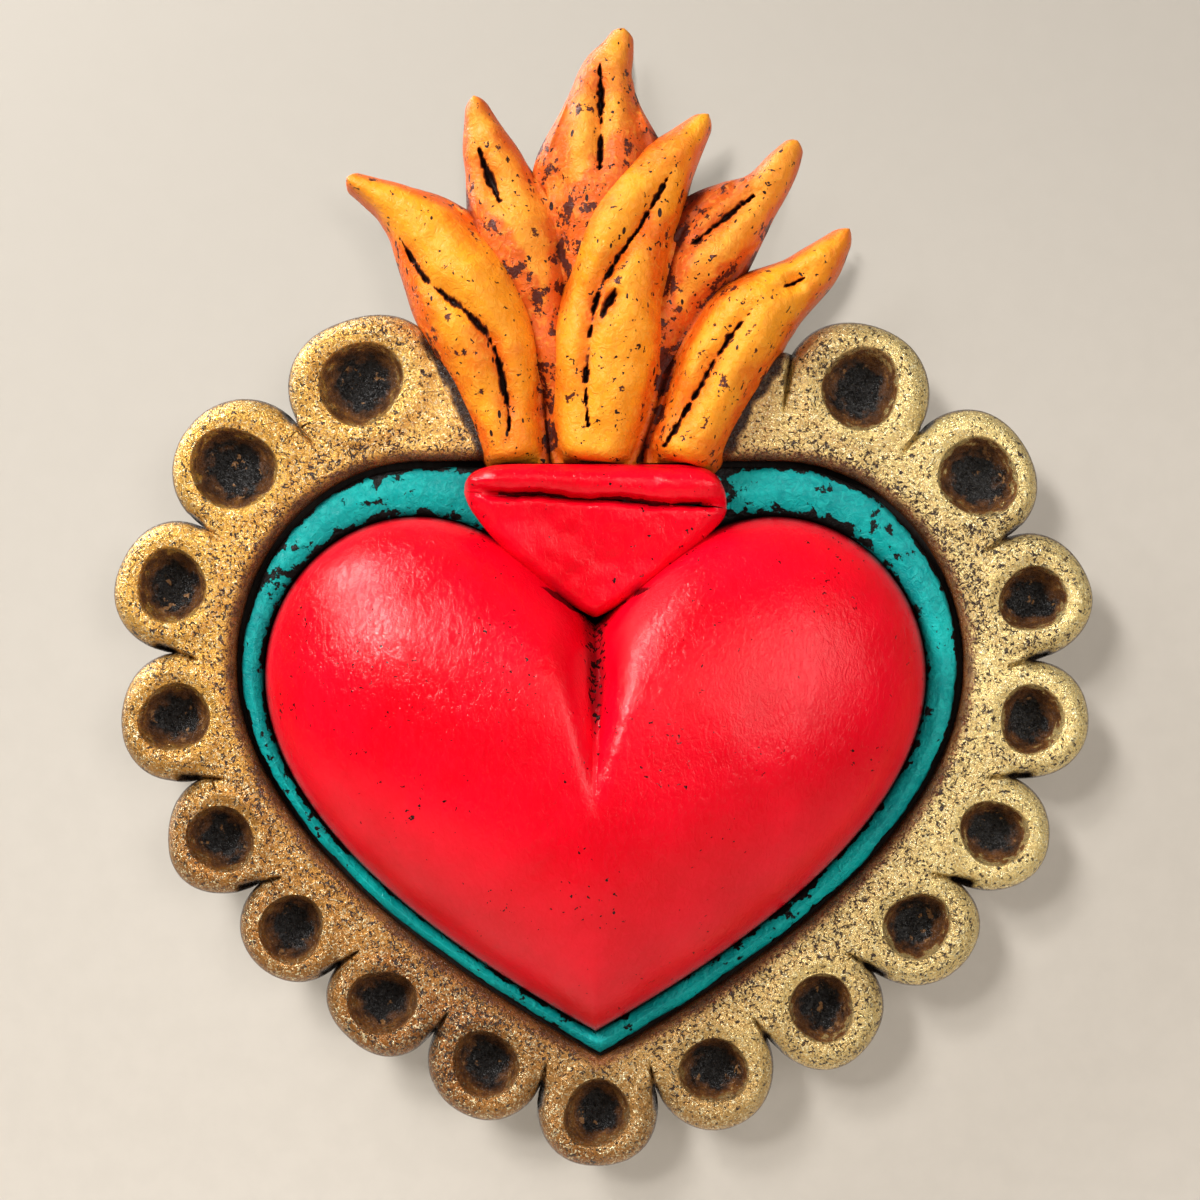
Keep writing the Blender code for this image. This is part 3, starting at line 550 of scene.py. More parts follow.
def dress(item, material, node):
    """Give a piece its material, body and slot, and hide the solid that it stands for."""
    item.data.materials.append(material)
    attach(item, ORNAMENT)
    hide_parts(node)


# Pieces

def heart_cleft(place):
    """How far up the cleft between the lobes a place lies, and its share of the cleft's full depth."""
    notch = HEART_TOP - NOTCH_DROP
    end = POLE[1] - CLEFT_END
    way = np.clip((place[..., 1] - end) / (notch - end), 0.0, 1.0)
    floor = CLEFT_FLOOR[0] + (CLEFT_FLOOR[1] - CLEFT_FLOOR[0]) * way
    shoulder = CLEFT_SHOULDER[0] + (CLEFT_SHOULDER[1] - CLEFT_SHOULDER[0]) * way
    sideways = np.abs(place[..., 0] - HEART_SHIFT + uneven_by(place, CLEFT_UNEVEN))
    up = np.clip((sideways - floor) / shoulder, 0.0, 1.0)
    return way, (1.0 - up) ** CLEFT_POWER * ease(way, 0.0, 0.7)


def heart_relief(place, share):
    """Depth of the red heart's face over a place, by its share of the way from the pole to the edge."""
    height = SEAT_LEVEL + HEART_SKIRT + HEART_RISE * (1.0 - share ** DOME_POWER) ** DOME_ROUND
    way, cleft = heart_cleft(place)
    fading = 1.0 - CLEFT_SHALLOWER * ease(way, *NEAR_NOTCH)
    uneven = uneven_by(place, HEART_UNEVEN) * ease(1.0 - share, 0.0, 0.08)
    return height - CLEFT_DEPTH * fading * cleft + uneven


def hollow_height(share):
    """Depth of the heart's hollow by the share of the way from the pole to its edge, well under the cleft."""
    rise = (HEART_RISE - HEART_WALL) * (1.0 - share ** DOME_POWER) ** DOME_ROUND
    return SEAT_LEVEL + HEART_SKIRT + rise - HOLLOW_DROP * (1.0 - share ** 8)


def heart_core(material):
    """The wad of crumpled paper that fills the heart."""
    angle = full_turn(CORE_POINTS)
    inner = around(angle) * (inner_reach(angle) - CORE_GAP)[:, None]
    loops = [solid(POLE + inner * 0.1, SEAT_LEVEL), solid(POLE + inner, SEAT_LEVEL)]
    for share in INNER_SHARES[::-1]:
        place = POLE + inner * share
        crumpled = sum(height * np.abs(flat_lumps(place, size, seed)) for height, size, seed in CORE_CRUMPLES)
        loops.append(solid(place, hollow_height(share) - CORE_GAP - crumpled))
    dress(loft("heart_core", loops, sharp=30.0), material, "heart_core")


def heart_shell(material):
    """The bulging red heart, hollow behind."""
    angle = full_turn(HEART_POINTS)
    reach = red_reach(angle)
    near = np.radians(np.linspace(-TIP_BLUNTING, TIP_BLUNTING, 17))
    blunt = np.mean([red_reach(angle + turn) for turn in near], axis=0)
    blunt = np.where(np.sin(angle) < -0.5, np.minimum(reach, blunt), reach)
    inner = around(angle) * inner_reach(angle)[:, None]
    loops = [solid(POLE + inner * share, hollow_height(share)) for share in INNER_SHARES]
    loops.append(solid(POLE + inner, SEAT_LEVEL))
    loops.append(solid(POLE + around(angle) * reach[:, None], SEAT_LEVEL))
    edges = [np.ones(HEART_POINTS)] * len(loops)
    clefts = [np.zeros(HEART_POINTS)] * len(loops)
    for share in 1.0 - np.linspace(0.0, 1.0, HEART_RINGS)[:-1] ** RING_CROWDING:
        softened = reach + (blunt - reach) * ease(1.0 - share, 0.0, 0.5)
        place = POLE + around(angle) * softened[:, None] * share
        loops.append(solid(place, heart_relief(place, share)))
        # Marks for painted shade: edge darkens the rim and, beside the collar's wedge, a painted shadow;
        # cleft darkens the cleft
        beside_wedge, _ = line_distance(place, wedge_outline())
        shadow = 1.0 - ease(beside_wedge + uneven_by(place, WEDGE_SHADOW_UNEVEN), *WEDGE_SHADOW)
        edges.append(np.maximum(share, shadow * (1.0 - ease(place[:, 1], *WEDGE_SHADOW_FADE))))
        way, cleft = heart_cleft(place)
        clefts.append(cleft ** 1.5 * ease(way, 0.0, 0.3))
    marks = {"edge": np.array(edges), "cleft": np.array(clefts)}
    dress(loft("heart_shell", loops, marks), material, "heart_shell")


def turquoise_border(material):
    """The painted strip round the heart, softly rounded."""
    angle = full_turn(BORDER_POINTS)
    inner = (red_reach(angle) + GLUE)[:, None] * around(angle)
    outer = (border_reach(angle) + BORDER_SPREAD)[:, None] * around(angle)
    outer = outer + around(angle) * uneven_by(POLE + outer, BORDER_SIDE_UNEVEN)[:, None]
    shares = np.concatenate((np.linspace(0.0, 0.12, 5)[:-1], np.linspace(0.12, 0.88, 20)[:-1],
                             np.linspace(0.88, 1.0, 7)))
    loops = [solid(POLE + inner, SEAT_LEVEL)]
    for share in shares:
        place = POLE + inner + (outer - inner) * share
        edge = min(share, 1.0 - share)
        height = BORDER_EDGE + (BORDER_CROWN - BORDER_EDGE) * min(1.0, edge / 0.5) ** BORDER_POWER
        loops.append(solid(place, height + uneven_by(place, BORDER_UNEVEN)))
    loops.append(solid(POLE + outer, SEAT_LEVEL))
    across = np.concatenate(((0.0,), shares, (1.0,)))
    marks = {"across": np.repeat(across[:, None], BORDER_POINTS, axis=1)}
    item = loft("turquoise_border", loops, marks, closed_along=True)
    dress(item, material, "turquoise_border")


def inside_polar(place, reach):
    """Roughly how far a place lies inside an outline that is given by its reach from the pole."""
    offset = place - POLE
    angle = np.arctan2(offset[..., 1], offset[..., 0])
    distance = reach(angle)
    slope = (reach(angle + 0.01) - reach(angle - 0.01)) / 0.02
    return (distance - np.hypot(offset[..., 0], offset[..., 1])) / np.sqrt(1.0 + (slope / distance) ** 2)


def dish_place(i):
    outward = LOBE_CENTRES[i] - POLE
    return LOBE_CENTRES[i] + outward / np.linalg.norm(outward) * DISH_SHIFT


def notch_lines():
    """The crevice between each two neighbouring scallops, from outside inwards."""
    lines = [KNOB_NOTCH]
    for near, far in zip(LOBE_CENTRES, LOBE_CENTRES[1:]):
        middle = (near + far) / 2
        inward = (POLE - middle) / np.linalg.norm(POLE - middle)
        lines.append((middle - inward * NOTCH_OUTWARD, middle + inward * NOTCH_INWARD))
    return lines


def outside_flames(place, names):
    """How far a place lies outside these flames."""
    gap = np.full(place.shape[:-1], np.inf)
    for name in names:
        for x, z, half in spline(TONGUES[name], 5):
            gap = np.minimum(gap, np.hypot(place[..., 0] - x, place[..., 1] - FLAME_FOOT - z) - half)
    return gap


def lobe_relief(i, place):
    """A scallop's own rounded height over a place, how much its dish takes off, and its share of the dish."""
    offset = place - LOBE_CENTRES[i]
    angle = np.arctan2(offset[..., 1], offset[..., 0])
    inside = lobe_reach(i, angle) - np.linalg.norm(offset, axis=-1)
    height = np.where(inside > -1.0, LOBE_CROWN - rounded(inside, LOBE_ROUND, LOBE_DROP), -20.0)
    offset = place - dish_place(i)
    angle = np.arctan2(offset[..., 1], offset[..., 0])
    brim = DISH_RADII[i] * (1.0 + wavering(BRIM_WAVES, angle, i))
    share = np.linalg.norm(offset, axis=-1) / brim
    bowl = 1.0 - np.clip(share, 0.0, 1.0) ** DISH_POWER
    return height, DISH_FUNNEL * (1.0 - ease(share, *FUNNEL_SHARES)) + DISH_DEPTH * bowl, share


def frame_relief(place):
    """Depth of the gilded face over a place, with marks for grime with painted shade, for the dishes and for
    the bare inner bevel.
    """
    from_groove = -inside_polar(place, opening_reach)
    from_lip = inside_polar(place, fill_reach)
    height = BAND_CROWN - rounded(from_groove, BAND_ROUND, BAND_DROP)
    height = height - rounded(from_lip + LIP_GIVE, BAND_ROUND, LIP_DROP)
    bole = np.clip(1.0 - from_groove / BOLE_REACH, 0.0, 1.0)
    dishes = np.zeros(place.shape[:-1])
    bowls = np.zeros(place.shape[:-1])
    for i, centre in enumerate(LOBE_CENTRES):
        near = np.linalg.norm(place - centre, axis=-1) < LOBE_NEIGHBOURHOOD
        lobe, dish, share = lobe_relief(i, place[near])
        height[near] = smooth_max(height[near], lobe, 1.0)
        dishes[near] += dish
        bowls[near] = np.maximum(bowls[near], 1.0 - share)
    for outer, inner in notch_lines():
        near = np.linalg.norm(place - outer, axis=-1) < LOBE_NEIGHBOURHOOD
        distance, way = line_distance(place[near], (outer, inner))
        narrow = NOTCH_HALF_WIDTH * (1.0 - 0.7 * way)
        height[near] -= NOTCH_DEPTH * (1.0 - way) ** 0.4 * np.clip(1.0 - distance / narrow, 0.0, 1.0)
    # Grime with painted shade: darker where the gilding falls below the band's crown, down the scallops'
    # sides and crevices, and beside the outer flames
    beside = outside_flames(place, OUTER_FLAMES) + uneven_by(place, GRIME_AND_SHADE_UNEVEN)
    grime_and_shade = np.maximum(ease(BAND_CROWN - height, *GRIME_AND_SHADE_FALL), 1.0 - ease(beside, *GRIME_AND_SHADE_BESIDE))
    height = height - dishes + uneven_by(place, FRAME_UNEVEN)
    return height, {"grime_and_shade": grime_and_shade, "bowl": bowls, "bole": bole}


def scallop_edge(i, angle):
    """Reach of a scallop's own pulp from its centre: its outline, as far as it is let into the band."""
    centre = LOBE_CENTRES[i]
    ray = around(angle)
    seat = DISH_RADII[i] + SCALLOP_SEAT_LIP
    steps = np.linspace(0.0, LOBE_SEARCH, SEARCH_STEPS)
    into_band = inside_polar(centre + ray[:, None, :] * steps[:, None], band_reach) > 0.0
    first = np.where(into_band.any(axis=1), steps[into_band.argmax(axis=1)], np.inf)
    return np.minimum(lobe_reach(i, angle), np.maximum(first, seat))


def scallop(i, name, material):
    """A gilded pulp pellet with a dish pressed into it."""
    angle = full_turn(SCALLOP_POINTS, 0.0)
    edge = LOBE_CENTRES[i] + around(angle) * scallop_edge(i, angle)[:, None]
    middle = dish_place(i)
    brim = middle + around(angle) * DISH_RADII[i]
    shares = np.linspace(0.0, 1.0, SCALLOP_RINGS)[:-1]
    places = [edge] + [edge + (brim - edge) * share for share in shares]
    places += [middle + (brim - middle) * share for share in 1.0 - shares ** 1.5]
    height, marks = frame_relief(np.array(places))
    height = np.maximum(height, SEAT_LEVEL + SCALLOP_LEAST)
    height[0] = SEAT_LEVEL
    # The pellet's seat edge takes the darkest grime and painted shade
    marks["grime_and_shade"][0] = 1.0
    dress(loft(name, solid(np.array(places), height), marks, sharp=70.0), material, name)


def rim_band(material):
    """The gilded band, open under the flames."""
    angle = np.radians(np.arange(*BAND_ENDS, BAND_STEP))
    inner = POLE + around(angle) * opening_reach(angle)[:, None]
    reach = fill_reach(angle)
    steps = np.linspace(BAND_SEARCH, 1.0, SEARCH_STEPS)
    for i, centre in enumerate(LOBE_CENTRES):
        bearing = math.atan2(*(centre - POLE)[::-1]) % (2 * math.pi)
        close = np.abs((angle - bearing + math.pi) % (2 * math.pi) - math.pi) < LOBE_HALF_TURN
        distances = reach[close][:, None] * steps
        offset = POLE + around(angle[close])[:, None, :] * distances[..., None] - centre
        turn = np.arctan2(offset[..., 1], offset[..., 0])
        lobe = scallop_edge(i, turn.reshape(-1)).reshape(turn.shape)
        within = np.linalg.norm(offset, axis=-1) < lobe - BAND_LAP
        first = np.where(within.any(axis=1), steps[within.argmax(axis=1)], 1.0)
        reach[close] = np.minimum(reach[close], reach[close] * first)
    outer = POLE + around(angle) * reach[:, None]
    shares = np.concatenate(((0.0,), np.linspace(0.0, 0.3, 14)[:-1], np.linspace(0.3, 1.0, 18), (1.0,)))
    places = inner[:, None, :] + (outer - inner)[:, None, :] * shares[None, :, None]
    height, marks = frame_relief(places)
    height[:, 0] = SEAT_LEVEL
    height[:, -1] = SEAT_LEVEL
    dress(loft("rim_band", solid(places, height), marks, sharp=70.0), material, "rim_band")


def carved(name, place):
    """How deep a place lies in a flame's carved slits, and in the broad valleys round them, from 0 to 1."""
    slit = np.zeros(place.shape[:-1])
    valley = np.zeros(place.shape[:-1])
    for line in CARVINGS[name]:
        points = spline(line, 8) if len(line) > 2 else np.array(line, float)
        distance, reached = line_distance(place, points + (0.0, FLAME_FOOT))
        taper = np.sin(math.pi * np.clip(reached, 0.04, 0.96)) ** 0.5
        valley = np.maximum(valley, taper * np.exp(-(distance / VALLEY_WIDTH) ** 1.6))
        length = np.linalg.norm(np.diff(points, axis=0), axis=1).sum()
        run = np.stack((reached * length, np.full(reached.shape, 7.0 * len(name))), axis=-1)
        width = SLIT_WIDTH * taper * np.clip(1.0 + uneven_by(run, FLAME_SLIT_WIDTHS), *SLIT_WIDTH_LIMITS)
        ragged = distance + uneven_by(place, FLAME_SLIT_UNEVEN)
        slit = np.maximum(slit, np.clip(SLIT_REACH - ragged / (width + 0.05), 0.0, 1.0))
    return slit, valley


def tongue_stations(name):
    """Sideways, height and half width along a flame; the rear ones have a hidden root."""
    rows = np.array(TONGUES[name])
    if name not in FRONT_FLAMES:
        root = rows[0] - (rows[1] - rows[0]) * (ROOT_LENGTH, ROOT_LENGTH, 0.0)
        rows = np.vstack((root, rows))
    return spline(rows, FLAME_STEPS)


def tongue_leaf(name, thick, share):
    """The smooth leaf of a flame with its webs: its places, and its arch and height over them."""
    stations = tongue_stations(name)
    way = np.linspace(0.0, 1.0, len(stations))
    middle = stations[:, :2] + (0.0, FLAME_FOOT)
    along = np.gradient(middle, axis=0)
    along /= np.linalg.norm(along, axis=1)[:, None]
    across = np.stack((along[:, 1], -along[:, 0]), axis=-1)
    foot = np.ones(len(way))
    if name in FRONT_FLAMES:
        across[0] = (1.0, 0.0)
        foot = np.sqrt(1.0 - (1.0 - np.clip(stations[:, 1] / FOOT_ROUND, 0.0, 1.0)) ** 2)
    left, right = WEBS[name]
    web = np.where(share < 0.0, left, right)[None, :] * (1.0 - ease(way, *WEB_FADE))[:, None]
    wobble = 1.0 + 0.05 * flat_lumps(middle, 9.0, len(name))
    tip = np.sqrt(1.0 - np.clip((way - TIP_START) / TIP_LENGTH, 0.0, 1.0) ** 2)
    half = (stations[:, 2] * wobble * tip * (0.88 + 0.12 * foot))[:, None]
    lateral = share[None, :] * (half + web)
    place = middle[:, None, :] + across[:, None, :] * lateral[..., None]
    arch = thick * (0.35 + 0.65 * np.minimum(1.0, half / half.max()) ** 0.8) * (0.6 + 0.4 * foot)[:, None]
    height = arch * np.sqrt(1.0 - np.minimum(np.abs(lateral) / half, 1.0) ** LEAF_POWER)
    outside = np.clip((np.abs(lateral) - half) / np.maximum(web, 0.01), 0.0, 1.0)
    skirt = np.where(web > 0.05, WEB_RISE * np.minimum(1.0, web) * (1.0 - 0.6 * outside), 0.0)
    return place, arch, np.where(skirt > 0.0, smooth_max(height, skirt, 2.0), height)


def tongue(name, material):
    """A flame: a fat leaf with puffed halves, a carved slit between them and a flat back."""
    front = name in FRONT_FLAMES
    thick = FLAME_FRONT if front else FLAME_BACK
    share = crowded(FLAME_ACROSS)
    place, arch, height = tongue_leaf(name, thick, share)
    slit, valley = carved(name, place)
    inner = ease(1.0 - np.abs(share), 0.0, 0.2)[None, :]
    relief = uneven_by(place, FLAME_UNEVEN) - VALLEY_DEPTH * valley - SLIT_DEPTH * slit
    relief = SEAT_LEVEL + height + relief * inner
    # Marks for painted shade: tuck where this flame runs under the front flames, low towards its flanks and
    # thin edges; the flat back takes the darkest value as its own dark paint
    others = [other for other in FRONT_FLAMES if other != name]
    apart = outside_flames(place, others) / (TUCK_WIDTH if front else REAR_TUCK_WIDTH)
    tuck = 1.0 - ease(apart + uneven_by(place, TUCK_UNEVEN), 0.0, 1.0)
    low = 1.0 - np.clip(height / arch, 0.0, 1.0) * (0.75 + 0.25 * arch / thick)
    way = np.linspace(0.0, 1.0, len(place))[:, None]
    marks = {
        "slit": with_back(slit * inner, 0.0),
        "valley": with_back(valley, 0.0),
        "low": with_back(low, 1.0),
        "tuck": with_back(tuck, 1.0),
        "way": np.repeat(way, FLAME_ACROSS + 2, axis=1),
    }
    back = SEAT_LEVEL + BACK_STEP * (len(TONGUES) - 1 - list(TONGUES).index(name))
    sections = flat_backed(place, np.maximum(relief, back), back)
    dress(loft(name, sections, marks, sharp=60.0), material, name)


def slit_height(x):
    """Height of the slit between the collar's lip and its wedge, which wavers and slopes to the right."""
    return SLIT_LEVEL - SLIT_SLOPE * x + wavering(SLIT_WAVES, x)


def collar_relief(place, inside):
    """Depth of the collar's face, by how far a place lies inside its outline, and a mark for its slit."""
    above = place[..., 1] - slit_height(place[..., 0])
    off_crest = np.clip((above - ROLL_CREST) / ROLL_HALF, -1.0, 1.0)
    edge_drop = rounded(inside, COLLAR_ROUND, COLLAR_DROP)
    roll = ROLL_FACE + ROLL_RISE * np.sqrt(1.0 - off_crest ** 2) - 0.5 * edge_drop
    wedge = COLLAR_FACE - 0.05 * (SLIT_LEVEL - place[..., 1]) - edge_drop
    wedge = wedge - 0.8 * np.exp(-(above / 1.2) ** 2)
    slit_ends = 1.0 - ease(np.abs(place[..., 0]), *SLIT_FADE)
    roll = roll + (1.0 - slit_ends) * (wedge - roll + 0.6 * ease(above, 0.0, 3.0))
    height = COLLAR_LEVEL + np.where(above > 0.0, roll, wedge)
    ragged = np.abs(above) + uneven_by(place, COLLAR_SLIT_UNEVEN)
    slit = np.clip(COLLAR_SLIT_REACH - ragged / COLLAR_SLIT_WIDTH, 0.0, 1.0) * slit_ends
    uneven = uneven_by(place, COLLAR_UNEVEN) * ease(inside, 0.0, 1.0)
    return height + uneven - COLLAR_SLIT_DEPTH * slit, slit


def collar_piece(name, material, rows, inside):
    """One half of the collar from rows of places across it, with a flat back."""
    rows = np.array(rows) + (HEART_SHIFT, 0.0)
    inside = np.array(inside)
    height, slit = collar_relief(rows, inside)
    sections = flat_backed(rows, np.maximum(height, COLLAR_LEVEL + COLLAR_LEAST), COLLAR_LEVEL)
    # Painted shade along the collar's outline, widest towards the wedge's tip, and in the slit under its lip
    painted_shade_width = 0.5 + 1.1 * (1.0 - ease(rows[..., 1], COLLAR_TIP, COLLAR_TIP + 14.0))
    edge = np.maximum(slit, 1.0 - ease(inside / painted_shade_width, 0.0, 1.0))
    dress(loft(name, sections, {"edge": with_back(edge, 1.0)}), material, name)


def wedge_side(steps):
    """The right side of the collar's wedge, from its tip upwards."""
    return bezier(((0.0, COLLAR_TIP), (9.0, COLLAR_TIP + 4.0), (19.0, 9.5), WEDGE_SHOULDER), steps)


def wedge_outline():
    """Both sides of the wedge as one line, from left to right."""
    right = wedge_side(8)
    left = right[:0:-1] * (-1.0, 1.0)
    return np.vstack((left, right)) + (HEART_SHIFT, 0.0)


def collar_wedge(material):
    """The V-shaped piece between the lobes of the heart."""
    ear = bezier((WEDGE_SHOULDER, (25.4, 17.4), (26.0, 19.0), WEDGE_TOP), 14)
    side = np.vstack((wedge_side(WEDGE_STEPS), ear))
    across = crowded(WEDGE_ACROSS)
    top = side[-1, 1]
    rows = []
    inside = []
    for half, z in side[1:]:
        lift = (z - COLLAR_TIP) / (top - COLLAR_TIP)
        left = np.array((-half, z + (slit_height(-half) - top) * lift))
        right = np.array((half, z + (slit_height(half) - top) * lift))
        rows.append(left + (right - left) * (across[:, None] + 1.0) / 2)
        inside.append(np.minimum((1.0 - np.abs(across)) * half * 0.72, 1.1 * (z - COLLAR_TIP) + 0.2))
    collar_piece("collar_wedge", material, rows, inside)


def collar_roll(material):
    """The rolled lip on top of the wedge, with rounded ears."""
    across = (crowded(ROLL_ACROSS) + 1.0) / 2
    rows = []
    inside = []
    for share in crowded(ROLL_ALONG):
        x = share * COLLAR_WIDTH / 2
        ear = (1.0 - abs(share) ** 9) ** 0.5
        low = slit_height(x)
        top = low + 0.4 + (FLAME_FOOT - GLUE - low - 0.4) * ear
        rows.append(np.stack((np.full(ROLL_ACROSS, x), low + (top - low) * across), axis=-1))
        from_end = (1.0 - abs(share)) * COLLAR_WIDTH / 2
        inside.append(np.minimum((1.0 - across) * (top - low), from_end + 0.05))
    collar_piece("collar_roll", material, rows, inside)


# Materials

class Paint:
    """A node material that is put together from a few kinds of texture and sum."""

    def __init__(self, name):
        self.material = bpy.data.materials.new(name)
        self.material.use_nodes = True
        self.tree = self.material.node_tree
        self.shader = self.tree.nodes["Principled BSDF"]
        self.place = self.node("TexCoord").outputs["Object"]

    def put(self, socket, value):
        if isinstance(value, bpy.types.NodeSocket):
            self.tree.links.new(value, socket)
        else:
            socket.default_value = value

    def node(self, kind, **inputs):
        """A new node with these inputs; an underscore in their names stands for a space."""
        node = self.tree.nodes.new("ShaderNode" + kind)
        for name, value in inputs.items():
            self.put(node.inputs[name.replace("_", " ")], value)
        return node

    def mark(self, name):
        """A mark that the mesh carries on its vertices."""
        node = self.node("Attribute")
        node.attribute_name = name
        return node.outputs["Fac"]

    def axis(self, name):
        """One coordinate of the place, X, Y or Z."""
        return self.node("SeparateXYZ", Vector=self.place).outputs[name]

    def stretched(self, scale, turn=(0.0, 0.0, 0.0)):
        return self.node("Mapping", Vector=self.place, Scale=scale, Rotation=turn).outputs["Vector"]

    def vector_sum(self, operation, *vectors):
        node = self.node("VectorMath")
        node.operation = operation
        for socket, vector in zip(node.inputs, vectors):
            self.put(socket, vector)
        return node.outputs["Vector"]

    def warped(self, scale, amount):
        """Places that are shifted about by noise."""
        noise = self.node("TexNoise", Vector=self.place, Scale=scale, Detail=2.0)
        return self.vector_sum("MULTIPLY_ADD", noise.outputs["Color"], (amount, amount, amount), self.place)

    def noise(self, scale, detail=4.0, rough=0.55, place=None, distortion=0.0):
        node = self.node("TexNoise", Vector=place or self.place, Scale=scale, Detail=detail, Roughness=rough,
                         Distortion=distortion)
        return node.outputs["Fac"]

    def cells(self, scale, place):
        """Distance from the nearest of many scattered points."""
        return self.node("TexVoronoi", Vector=place, Scale=scale).outputs["Distance"]

    def scratches(self, scale, width, shift, dirt):
        """Short curved scratches, where noise crosses its middle, and more of them where there is dirt."""
        moved = self.vector_sum("ADD", self.place, (shift, shift, shift))
        wave = self.noise(scale, 1.5, 0.5, moved, 0.7)
        off_middle = self.sum("ABSOLUTE", self.less(wave, 0.5))
        line = self.span(off_middle, 0.4 * width, width, 1.0, 0.0)
        broken = self.noise(1.7 * scale, 2.0, 0.5, moved)
        return self.times(line, self.span(self.add(broken, dirt), 0.53, 0.59))

    def sum(self, operation, a, b=0.0, clamp=False):
        node = self.node("Math")
        node.operation = operation
        node.use_clamp = clamp
        self.put(node.inputs[0], a)
        self.put(node.inputs[1], b)
        return node.outputs[0]

    def add(self, a, b, clamp=False):
        return self.sum("ADD", a, b, clamp)

    def less(self, a, b, clamp=False):
        return self.sum("SUBTRACT", a, b, clamp)

    def times(self, a, b):
        return self.sum("MULTIPLY", a, b)

    def most(self, a, b):
        return self.sum("MAXIMUM", a, b)

    def span(self, value, low, high, start=0.0, end=1.0):
        """A value from low to high, carried over to start and end, and held there beyond."""
        node = self.node("MapRange", Value=value, From_Min=low, From_Max=high, To_Min=start, To_Max=end)
        node.interpolation_type = "SMOOTHSTEP"
        return node.outputs["Result"]

    def mix(self, share, a, b):
        """Colour a, with this share of colour b."""
        node = self.node("Mix", Factor=share)
        node.data_type = "RGBA"
        self.put(node.inputs[6], a)
        self.put(node.inputs[7], b)
        return node.outputs[2]

    def bump(self, height, distance, strength):
        return self.node("Bump", Height=height, Distance=distance, Strength=strength).outputs["Normal"]

    def finish(self, colour, roughness, normal=None, metallic=0.0, **constants):
        self.put(self.shader.inputs["Base Color"], colour)
        self.put(self.shader.inputs["Roughness"], roughness)
        self.put(self.shader.inputs["Metallic"], metallic)
        if normal:
            self.put(self.shader.inputs["Normal"], normal)
        for name, value in constants.items():
            self.shader.inputs[name.replace("_", " ")].default_value = value
        return self.material


def colour(red, green, blue):
    """A colour from its 0 to 255 screen values, as the shader's linear ones."""
    linear = []
    for value in (red, green, blue):
        c = value / 255.0
        linear.append(c / 12.92 if c <= 0.04045 else ((c + 0.055) / 1.055) ** 2.4)
    return (*linear, 1.0)


# Paints, by their screen colours
RED_DEEP = colour(218, 0, 22)
RED_BRIGHT = colour(238, 4, 34)
RED_STROKE = colour(246, 20, 50)
RED_CLEFT_SHADE = colour(96, 14, 16)
RED_FLECK = colour(36, 8, 8)
RED_EDGE_SHADE = colour(40, 5, 8)
RED_PIT = colour(24, 6, 8)
TEAL_DEEP = colour(0, 138, 140)
TEAL_BRIGHT = colour(4, 178, 174)
TEAL_STROKE = colour(36, 206, 198)
TEAL_EDGE_SHADE = colour(2, 58, 60)
TEAL_BARE = colour(14, 14, 13)
GOLD_WARM = colour(222, 168, 72)
GOLD_PALE = colour(240, 214, 142)
GOLD_STAIN = colour(146, 90, 34)
GOLD_GLINT = colour(255, 246, 200)
GOLD_CREASE_SHADE = colour(134, 86, 34)
GOLD_WORN = colour(48, 28, 12)
GOLD_SIDE = colour(104, 68, 30)
GOLD_GRIME_AND_SHADE = colour(38, 24, 14)
RUST_PALE = colour(142, 76, 32)
RUST_DEEP = colour(96, 48, 20)
CUP_BRIM = colour(140, 92, 44)
CUP_WALL = colour(96, 60, 32)
CUP_FLOOR = colour(14, 13, 14)
CUP_FLECK = colour(150, 108, 66)
AMBER_RIDGE = colour(248, 156, 32)
AMBER_FLANK = colour(228, 98, 14)
ORANGE_RIDGE = colour(240, 148, 42)
ORANGE_FLANK = colour(218, 96, 28)
FLAME_STROKE = colour(255, 190, 70)
FLAME_ROOT_SHADE = colour(118, 34, 16)
FLAME_BARE = colour(84, 34, 24)
FLAME_GROOVE = colour(128, 54, 22)
FLAME_BLACK = colour(40, 16, 9)
CARD_PALE = colour(40, 28, 20)
CARD_DEEP = colour(22, 15, 11)
KRAFT_PALE = colour(176, 138, 96)
KRAFT_DEEP = colour(134, 98, 62)
PAPER_PALE = colour(196, 190, 176)
PAPER_DEEP = colour(150, 144, 132)
BRASS_BRIGHT = colour(206, 166, 92)
BRASS_TARNISH = colour(120, 84, 40)
STEEL_BRIGHT = colour(170, 168, 164)
STEEL_TARNISH = colour(110, 104, 98)
WALL_LOW = colour(224, 217, 207)
WALL_HIGH = colour(196, 190, 181)
WALL_GRAIN = colour(190, 184, 174)


def pinholes(paint, scale, size, patchy, rare=0.4):
    """Small dark pits, more of them in some patches."""
    dots = paint.cells(scale, paint.warped(700.0, 0.004))
    patch = paint.noise(patchy, 3.0)
    radius = paint.span(patch, rare, rare + 0.28, 0.0, size)
    return paint.sum("LESS_THAN", dots, radius)


